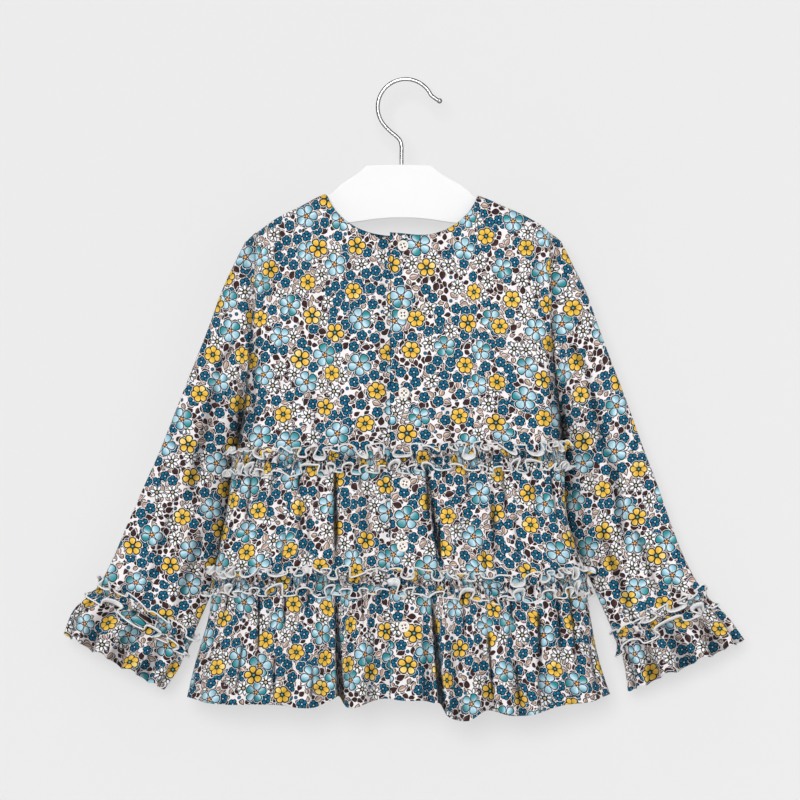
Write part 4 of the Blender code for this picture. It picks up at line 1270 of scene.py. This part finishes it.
def makeBodyRuffle(label):
    spec = ruffles[label]
    c, side = bodyRing(spec["height"], spec["waves"] * ruffles["perWave"] + 1)
    z = smoothCurve(across(c, spec["height"]), body[spec["seam"]])
    base = bodyPoint(c, z, side, 0.0)
    upWay = unit(bodyPoint(c, z + 14, side, 0.0) - base)
    downWay = unit(bodyPoint(c, z - 14, side, 0.0) - base)
    _, nx, ny = section(c, z)
    outWay = np.stack([nx, side * ny, 0 * nx], -1)
    # more waves to the length at the sides
    dense = 1 + 1.4 * ease((np.abs(c) - 0.80) / 0.16)
    turn = np.cumsum(dense) / dense.mean() / ruffles["perWave"]
    weight = 0.5 + 0.5 * ease((1 - np.abs(c)) / 0.08)
    grid, paintedShade = ruffleGrid(base, upWay, downWay, outWay, turn, spec, spec["phase"], weight)
    run = runLength(grid[0]) * ruffles["easedIn"]
    rows = np.linspace(spec["half"], -spec["half"], len(grid))[:, None]
    name = "ruffle" + label.capitalize()
    piece = clothPiece(name, grid, clothMap(run, rows, spec["place"]), "ruffle_" + label,
                       paintedShade)
    threads = [threadPiece(name + "Edge%d" % k, path, np.broadcast_to((0.0, 0.0, 1.0), path.shape),
                           False) for k, path in enumerate((grid[0], grid[-1]))]
    return [(piece, spec["flat"], None, threads)]


def makeCuffRuffle(label, sign):
    spec = ruffles["cuff"]
    count = spec["waves"] * ruffles["perWave"]
    wrist = sleeves[label][-1]
    above = mixRows(wrist, sleeves[label][-2], 0.45)
    flounce = sleeves["flounce" + label.capitalize()]
    below = mixRows(flounce[0], flounce[1], 0.15)
    rings, normals = ringGrid(np.array([above, wrist, below], float), count)
    upWay = unit(rings[0] - rings[1])
    downWay = unit(rings[2] - rings[1])
    turn = np.arange(count) / ruffles["perWave"]
    around = ringTurns(count)
    weight = 0.12 + 0.88 * np.abs(np.sin(around)) ** 0.8
    seed = 0.9 + 0.6 * sign
    grid, paintedShade = ruffleGrid(rings[1], upWay, downWay, normals[1], turn, spec, round(seed), weight)
    rows = np.linspace(spec["half"], -spec["half"], len(grid))[:, None]
    u = closedRun(grid[0]) * ruffles["easedIn"]
    uv = clothMap(u, rows, spec["place" + label.capitalize()])
    name = "sleeveRuffle" + label.capitalize()
    piece = clothPiece(name, grid, uv, "sleeve_ruffle_" + label, paintedShade,
                       closed=True, flip=sign < 0)
    threads = [threadPiece(name + "Edge%d" % k, path, upWay, True)
               for k, path in enumerate((grid[0], grid[-1]))]
    return [(piece, spec["flat"], None, threads)]


buttons = {
    "places": ((1, -165.5), (1, -234.0), (2, -312.5), (3, -402.5), (0.5, -465.5), (2, -545.5)),
    "turns": (20, 4, 44, -12, 30, 12),
    "radius": 5.6,
    "seat": 1.5,
    # distance from the middle, height
    "profile": ((0, 1.45), (2.9, 1.45), (3.6, 1.62), (4.3, 2.12), (4.8, 2.2), (5.3, 1.95),
                (5.55, 1.45), (5.6, 0.9)),
    "underside": ((5.6, 0.5), (5.4, 0.1), (5.0, 0.0), (0.02, 0.0)),
    "holeAt": 1.45,
    "holeHalf": 0.92,
    "holeDeep": 1.25,
    # radius of the ring of painted shade inside the rim
    "ringShade": 3.5,
    "rings": 34,
    "around": 64,
}


def makeButton(number):
    # a turned face with four pits, carried on down its side and closed flat underneath
    x, z = buttons["places"][number]
    count = buttons["around"]
    turn = ringTurns(count, 0)
    r = np.linspace(0.02, 1, buttons["rings"]) * buttons["radius"]
    high = smoothCurve(r, buttons["profile"])[:, None] * np.ones(count)
    px = r[:, None] * np.cos(turn)
    py = r[:, None] * np.sin(turn)
    at = buttons["holeAt"]
    pitsAndShade = np.zeros(px.shape)
    for sx in (-1, 1):
        for sy in (-1, 1):
            far = np.hypot(px - sx * at, py - sy * at)
            pitsAndShade = np.maximum(pitsAndShade, ease((buttons["holeHalf"] - far) / 0.3 + 0.5))
    high = high - pitsAndShade * buttons["holeDeep"]
    # painted shade in the pits, in a ring inside the rim and round the outer edge
    pitsAndShade = np.maximum(pitsAndShade, 0.22 * np.exp(-((r[:, None] - buttons["ringShade"]) / 0.3) ** 2)
                      + 0.6 * ease((r[:, None] - 5.3) / 0.25))
    below, depth = np.array(buttons["underside"]).T[..., None]
    low = np.stack([below * np.cos(turn), below * np.sin(turn), depth + 0 * turn], -1)
    flat = np.concatenate([np.stack([px, py, high], -1), low])
    holes = np.concatenate([pitsAndShade, np.zeros(low.shape[:2])])
    c = np.array([x / body["chest"]])
    place = bodyPoint(c, np.array([float(z)]), -1, buttons["seat"])[0]
    above = bodyPoint(c, np.array([z + 5.0]), -1, buttons["seat"])[0]
    up = unit(above - place)
    out = np.cross((1.0, 0.0, 0.0), up)
    spin = math.radians(buttons["turns"][number])
    sideWay = np.array([1.0, 0, 0]) * math.cos(spin) + up * math.sin(spin)
    upWay = up * math.cos(spin) - np.array([1.0, 0, 0]) * math.sin(spin)
    grid = (place + flat[..., :1] * sideWay + flat[..., 1:2] * upWay + flat[..., 2:] * out)
    uv = np.zeros((len(grid), count + 1, 2))
    piece = gridPiece("buttonFace%d" % (number + 1), grid, uv, ("button",), closed=True)
    addPointValue(piece, "hole", holes)
    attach(piece, "root")
    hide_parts("button_%d" % (number + 1))
    return piece


buttonholes = {
    # button: half length, half width and rise of the middle over the button's
    "shown": {1: (6.0, 2.6, 3.0), 5: (6.0, 1.5, 3.8)},
    "thread": 0.62,
}


def makeButtonhole(number):
    # thread laid round a narrow slit
    high, wide, rise = buttonholes["shown"][number]
    x, z = buttons["places"][number]
    turn = np.linspace(0, 2 * math.pi, 120, endpoint=False)
    c = (x + wide * np.sign(np.cos(turn)) * np.abs(np.cos(turn)) ** 0.6) / body["chest"]
    zs = z + rise + high * np.sin(turn)
    path = bodyPoint(c, zs, -1, body["skin"] - 0.1)
    return threadPiece("buttonhole%d" % (number + 1), path, np.tile((0.0, -1.0, 0.0), (120, 1)),
                       True, buttonholes["thread"], "hole")


hanger = {
    "thick": 7.0,
    "edge": 1.1,
    "armSink": 1.9,
    "armLeft": (-138, -120, -100, -85, -75),
    "slopeLeft": ((-71, -113), (-67, -109), (-60, -102.5), (-50, -96.5), (-42, -91),
                  (-37.5, -86.5), (-35, -84)),
    "slopeRight": ((29, -84), (32, -87), (37, -91.5), (46, -97), (58, -103.5), (67, -110),
                   (71.5, -116)),
    "armRight": (77, 86, 100, 120, 139),
    "underRight": ((143, -153), (141, -158), (120, -154), (95, -148), (70, -144.5)),
    "arch": ((49, -142.5), (25, -138.5), (-2, -137), (-25, -138.5), (-44, -141.5)),
    "underLeft": ((-70, -144.5), (-95, -149), (-118, -155), (-140, -160), (-142, -156)),
}


def cutCorners(points):
    # each side is kept between a quarter and three quarters of its length
    after = np.roll(points, -1, axis=0)
    return np.stack([points * 0.75 + after * 0.25, points * 0.25 + after * 0.75], 1).reshape(-1, 2)


def makeHanger():
    # a flat plate: its rounded edge is a half circle carried round the outline
    tops = [[(x, float(shoulderHeight(np.array(float(x)))) - hanger["armSink"]) for x in arm]
            for arm in (hanger["armLeft"], hanger["armRight"])]
    outline = np.array([*tops[0], *hanger["slopeLeft"], *hanger["slopeRight"], *tops[1],
                        *hanger["underRight"], *hanger["arch"], *hanger["underLeft"]], float)
    for _ in range(3):
        outline = cutCorners(outline)
    along = unit(np.roll(outline, -1, axis=0) - np.roll(outline, 1, axis=0))
    inward = np.stack([along[:, 1], -along[:, 0]], -1)
    edge = hanger["edge"]
    bend = np.linspace(-math.pi / 2, math.pi / 2, 13)
    inset = edge * (1 - np.cos(bend))
    depth = (hanger["thick"] / 2 - edge) * np.sign(bend) + edge * np.sin(bend)
    flat = outline + inward * inset[:, None, None]
    grid = np.stack([flat[..., 0], np.broadcast_to(depth[:, None], flat.shape[:2]), flat[..., 1]],
                    -1)
    tall, wide = grid.shape[:2]
    quads = gridFaces(tall, wide, wide, ((0, 0), (0, 1), (1, 1), (1, 0)))
    faces = [*quads.tolist(), list(range(wide))[::-1], list(range((tall - 1) * wide, tall * wide))]
    mesh = bpy.data.meshes.new("hangerPlate")
    mesh.from_pydata(grid.reshape(-1, 3) * mm, [], faces)
    shaped = bmesh.new()
    shaped.from_mesh(mesh)
    bmesh.ops.recalc_face_normals(shaped, faces=shaped.faces)
    for face in shaped.faces:
        face.smooth = len(face.verts) == 4
    shaped.to_mesh(mesh)
    shaped.free()
    mesh.materials.append(finish["hanger"])
    piece = addObject("hangerPlate", mesh)
    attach(piece, "root")
    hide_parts("hanger_body")
    return piece


hook = {
    "radius": 1.95,
    "bend": 28.0,
    "centre": (3.7, -26.6),
    "from": 222,
    "to": 26,
    "stem": ((-0.5, -84), (-0.5, -74), (-0.5, -66), (-1.7, -60.5), (-5.5, -56), (-11.5, -51)),
    "end": ((32.5, -17.4), (35.2, -19.3)),
    "ballWay": (0.9, -0.43),
    "ballAt": 2.6,
    "ballRadius": 2.65,
    "sides": 20,
}


def makeHook():
    # a circle carried along the bent wire, swelling into a ball at its end
    turn = np.radians(np.linspace(hook["from"], hook["to"], 40))
    arc = np.array(hook["centre"]) + hook["bend"] * np.stack([np.cos(turn), np.sin(turn)], -1)
    path = np.concatenate([hook["stem"], arc, hook["end"]])
    run = runLength(path)
    at = np.linspace(0, run[-1], 260)
    wire = np.stack([smoothCurve(at, np.stack([run, path[:, k]], -1)) for k in (0, 1)], -1)
    ball = np.linspace(-1, 1, 24)
    tip = wire[-1] + np.array(hook["ballWay"]) * hook["ballAt"]
    ballPath = tip + np.array(hook["ballWay"]) * (ball[:, None] * hook["ballRadius"])
    ballSize = hook["ballRadius"] * np.sqrt(np.clip(1 - ball ** 2, 1e-4, 1))
    grow = ballSize > hook["radius"]
    first = int(np.argmax(grow))
    line = np.concatenate([wire, ballPath[first:]])
    size = np.concatenate([np.full(len(wire), hook["radius"]), ballSize[first:]])
    along = unit(np.gradient(line, axis=0))
    side = np.stack([-along[:, 1], 0 * along[:, 0], along[:, 0]], -1)
    angle = ringTurns(hook["sides"], 0)
    centre = np.stack([line[:, 0], 0 * line[:, 0], line[:, 1]], -1)
    grid = (centre[:, None] + size[:, None, None]
            * (np.cos(angle)[None, :, None] * side[:, None]
               + np.sin(angle)[None, :, None] * np.array([0.0, 1.0, 0.0])))
    piece = gridPiece("hookWire", grid, np.zeros((len(grid), hook["sides"] + 1, 2)), ("hook",),
                      closed=True, flip=True)
    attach(piece, "root")
    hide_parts("hanger_hook")
    return piece


sheets = makeBodice() + makeTiers()
print("body panels made")
for label, sign in (("left", -1), ("right", 1)):
    sheets += makeSleeve(label, sign) + makeFlounce(label, sign) + makeCuffRuffle(label, sign)
print("sleeves made")
sheets += makeBodyRuffle("upper") + makeBodyRuffle("lower")
for number in range(len(buttons["places"])):
    makeButton(number)
holes = {"bodiceBackRight": [makeButtonhole(1)], "tier3BackRight": [makeButtonhole(5)]}
hangerPiece = makeHanger()
makeHook()
print("ruffles, buttons and hanger made")


stage = {
    "wallBehind": 0.050,
    "wallSize": 6.0,
    "floorDrop": -0.82,
    "wallTint": (0.83, 0.83, 0.83),
    "wallGlow": 0.550,
    "wallBase": 0.27,
    "cameraAway": 8.0,
    "frameWide": 0.8,
    "centre": (-0.002, -0.3195),
    "aimHeight": -0.35,
    "world": 0.24,
    # name, kind, place or direction, size or angle, power; the key is a broad sun, so that the wall
    # is even and its shadow soft
    "lights": (
        ("keyLight", "SUN", (-0.12, -1.0, 0.20), 0.42, 1.98),
        ("topLight", "AREA", (-0.5, -1.3, 2.4), 1.6, 9),
        ("fillLight", "AREA", (1.6, -2.2, 0.4), 2.0, 8),
        ("backLight", "AREA", (0.6, 2.6, 1.2), 2.0, 24),
    ),
}


def stagePlane(name, corners, seeThrough):
    mesh = bpy.data.meshes.new(name)
    mesh.from_pydata(corners, [], [(0, 1, 2, 3)])
    piece = addObject(name, mesh)
    made, tree, shader = newMaterial(name + "Paint")
    shader.inputs["Base Color"].default_value = (*stage["wallTint"], 1)
    shader.inputs["Roughness"].default_value = 0.9
    shader.inputs["Specular IOR Level"].default_value = 0.0
    if seeThrough:
        # mostly its own even light, so that only a soft shadow stays on it
        shader.inputs["Emission Color"].default_value = (1, 1, 1, 1)
        shader.inputs["Emission Strength"].default_value = stage["wallGlow"]
        shader.inputs["Base Color"].default_value = (*(stage["wallBase"] for _ in range(3)), 1)
        clear = tree.nodes.new("ShaderNodeBsdfTransparent")
        either = tree.nodes.new("ShaderNodeMixShader")
        behind = tree.nodes.new("ShaderNodeNewGeometry").outputs["Backfacing"]
        put(tree, behind, either.inputs[0])
        put(tree, shader.outputs[0], either.inputs[1])
        put(tree, clear.outputs[0], either.inputs[2])
        put(tree, either.outputs[0], tree.nodes["Material Output"].inputs["Surface"])
    mesh.materials.append(made)
    return piece


def makeStage():
    # a wall close behind that is clear from its back, a floor below, soft lights and the camera
    half = stage["wallSize"] / 2
    y = stage["wallBehind"]
    stagePlane("wall", [(-half, y, -half), (half, y, -half), (half, y, half), (-half, y, half)],
               True)
    z = stage["floorDrop"]
    stagePlane("floor", [(-half, -half, z), (half, -half, z), (half, half, z), (-half, half, z)],
               False)
    world = bpy.data.worlds.new("room")
    world.use_nodes = True
    world.node_tree.nodes["Background"].inputs[0].default_value = (1, 1, 1, 1)
    world.node_tree.nodes["Background"].inputs[1].default_value = stage["world"]
    bpy.context.scene.world = world
    for name, kind, place, size, power in stage["lights"]:
        data = bpy.data.lights.new(name, kind)
        if kind == "SUN":
            data.angle = size
        else:
            data.shape = "DISK"
            data.size = size
        data.energy = power
        lamp = addObject(name, data)
        lamp.location = place
        # area lights look at the blouse's middle
        way = np.array(place) - (0, 0, stage["aimHeight"] if kind == "AREA" else 0)
        lamp.rotation_euler = (math.acos(way[2] / np.linalg.norm(way)), 0,
                               math.atan2(way[1], way[0]) + math.pi / 2)
    data = bpy.data.cameras.new("camera")
    data.sensor_width = 36.0
    data.lens = 36.0 * stage["cameraAway"] / stage["frameWide"]
    data.clip_end = 40
    camera = addObject("camera", data)
    camera.location = (stage["centre"][0], -stage["cameraAway"], stage["centre"][1])
    camera.rotation_euler = (math.pi / 2, 0, 0)
    bpy.context.scene.camera = camera
    bpy.context.scene.view_settings.view_transform = "Standard"


makeStage()
print("stage made")
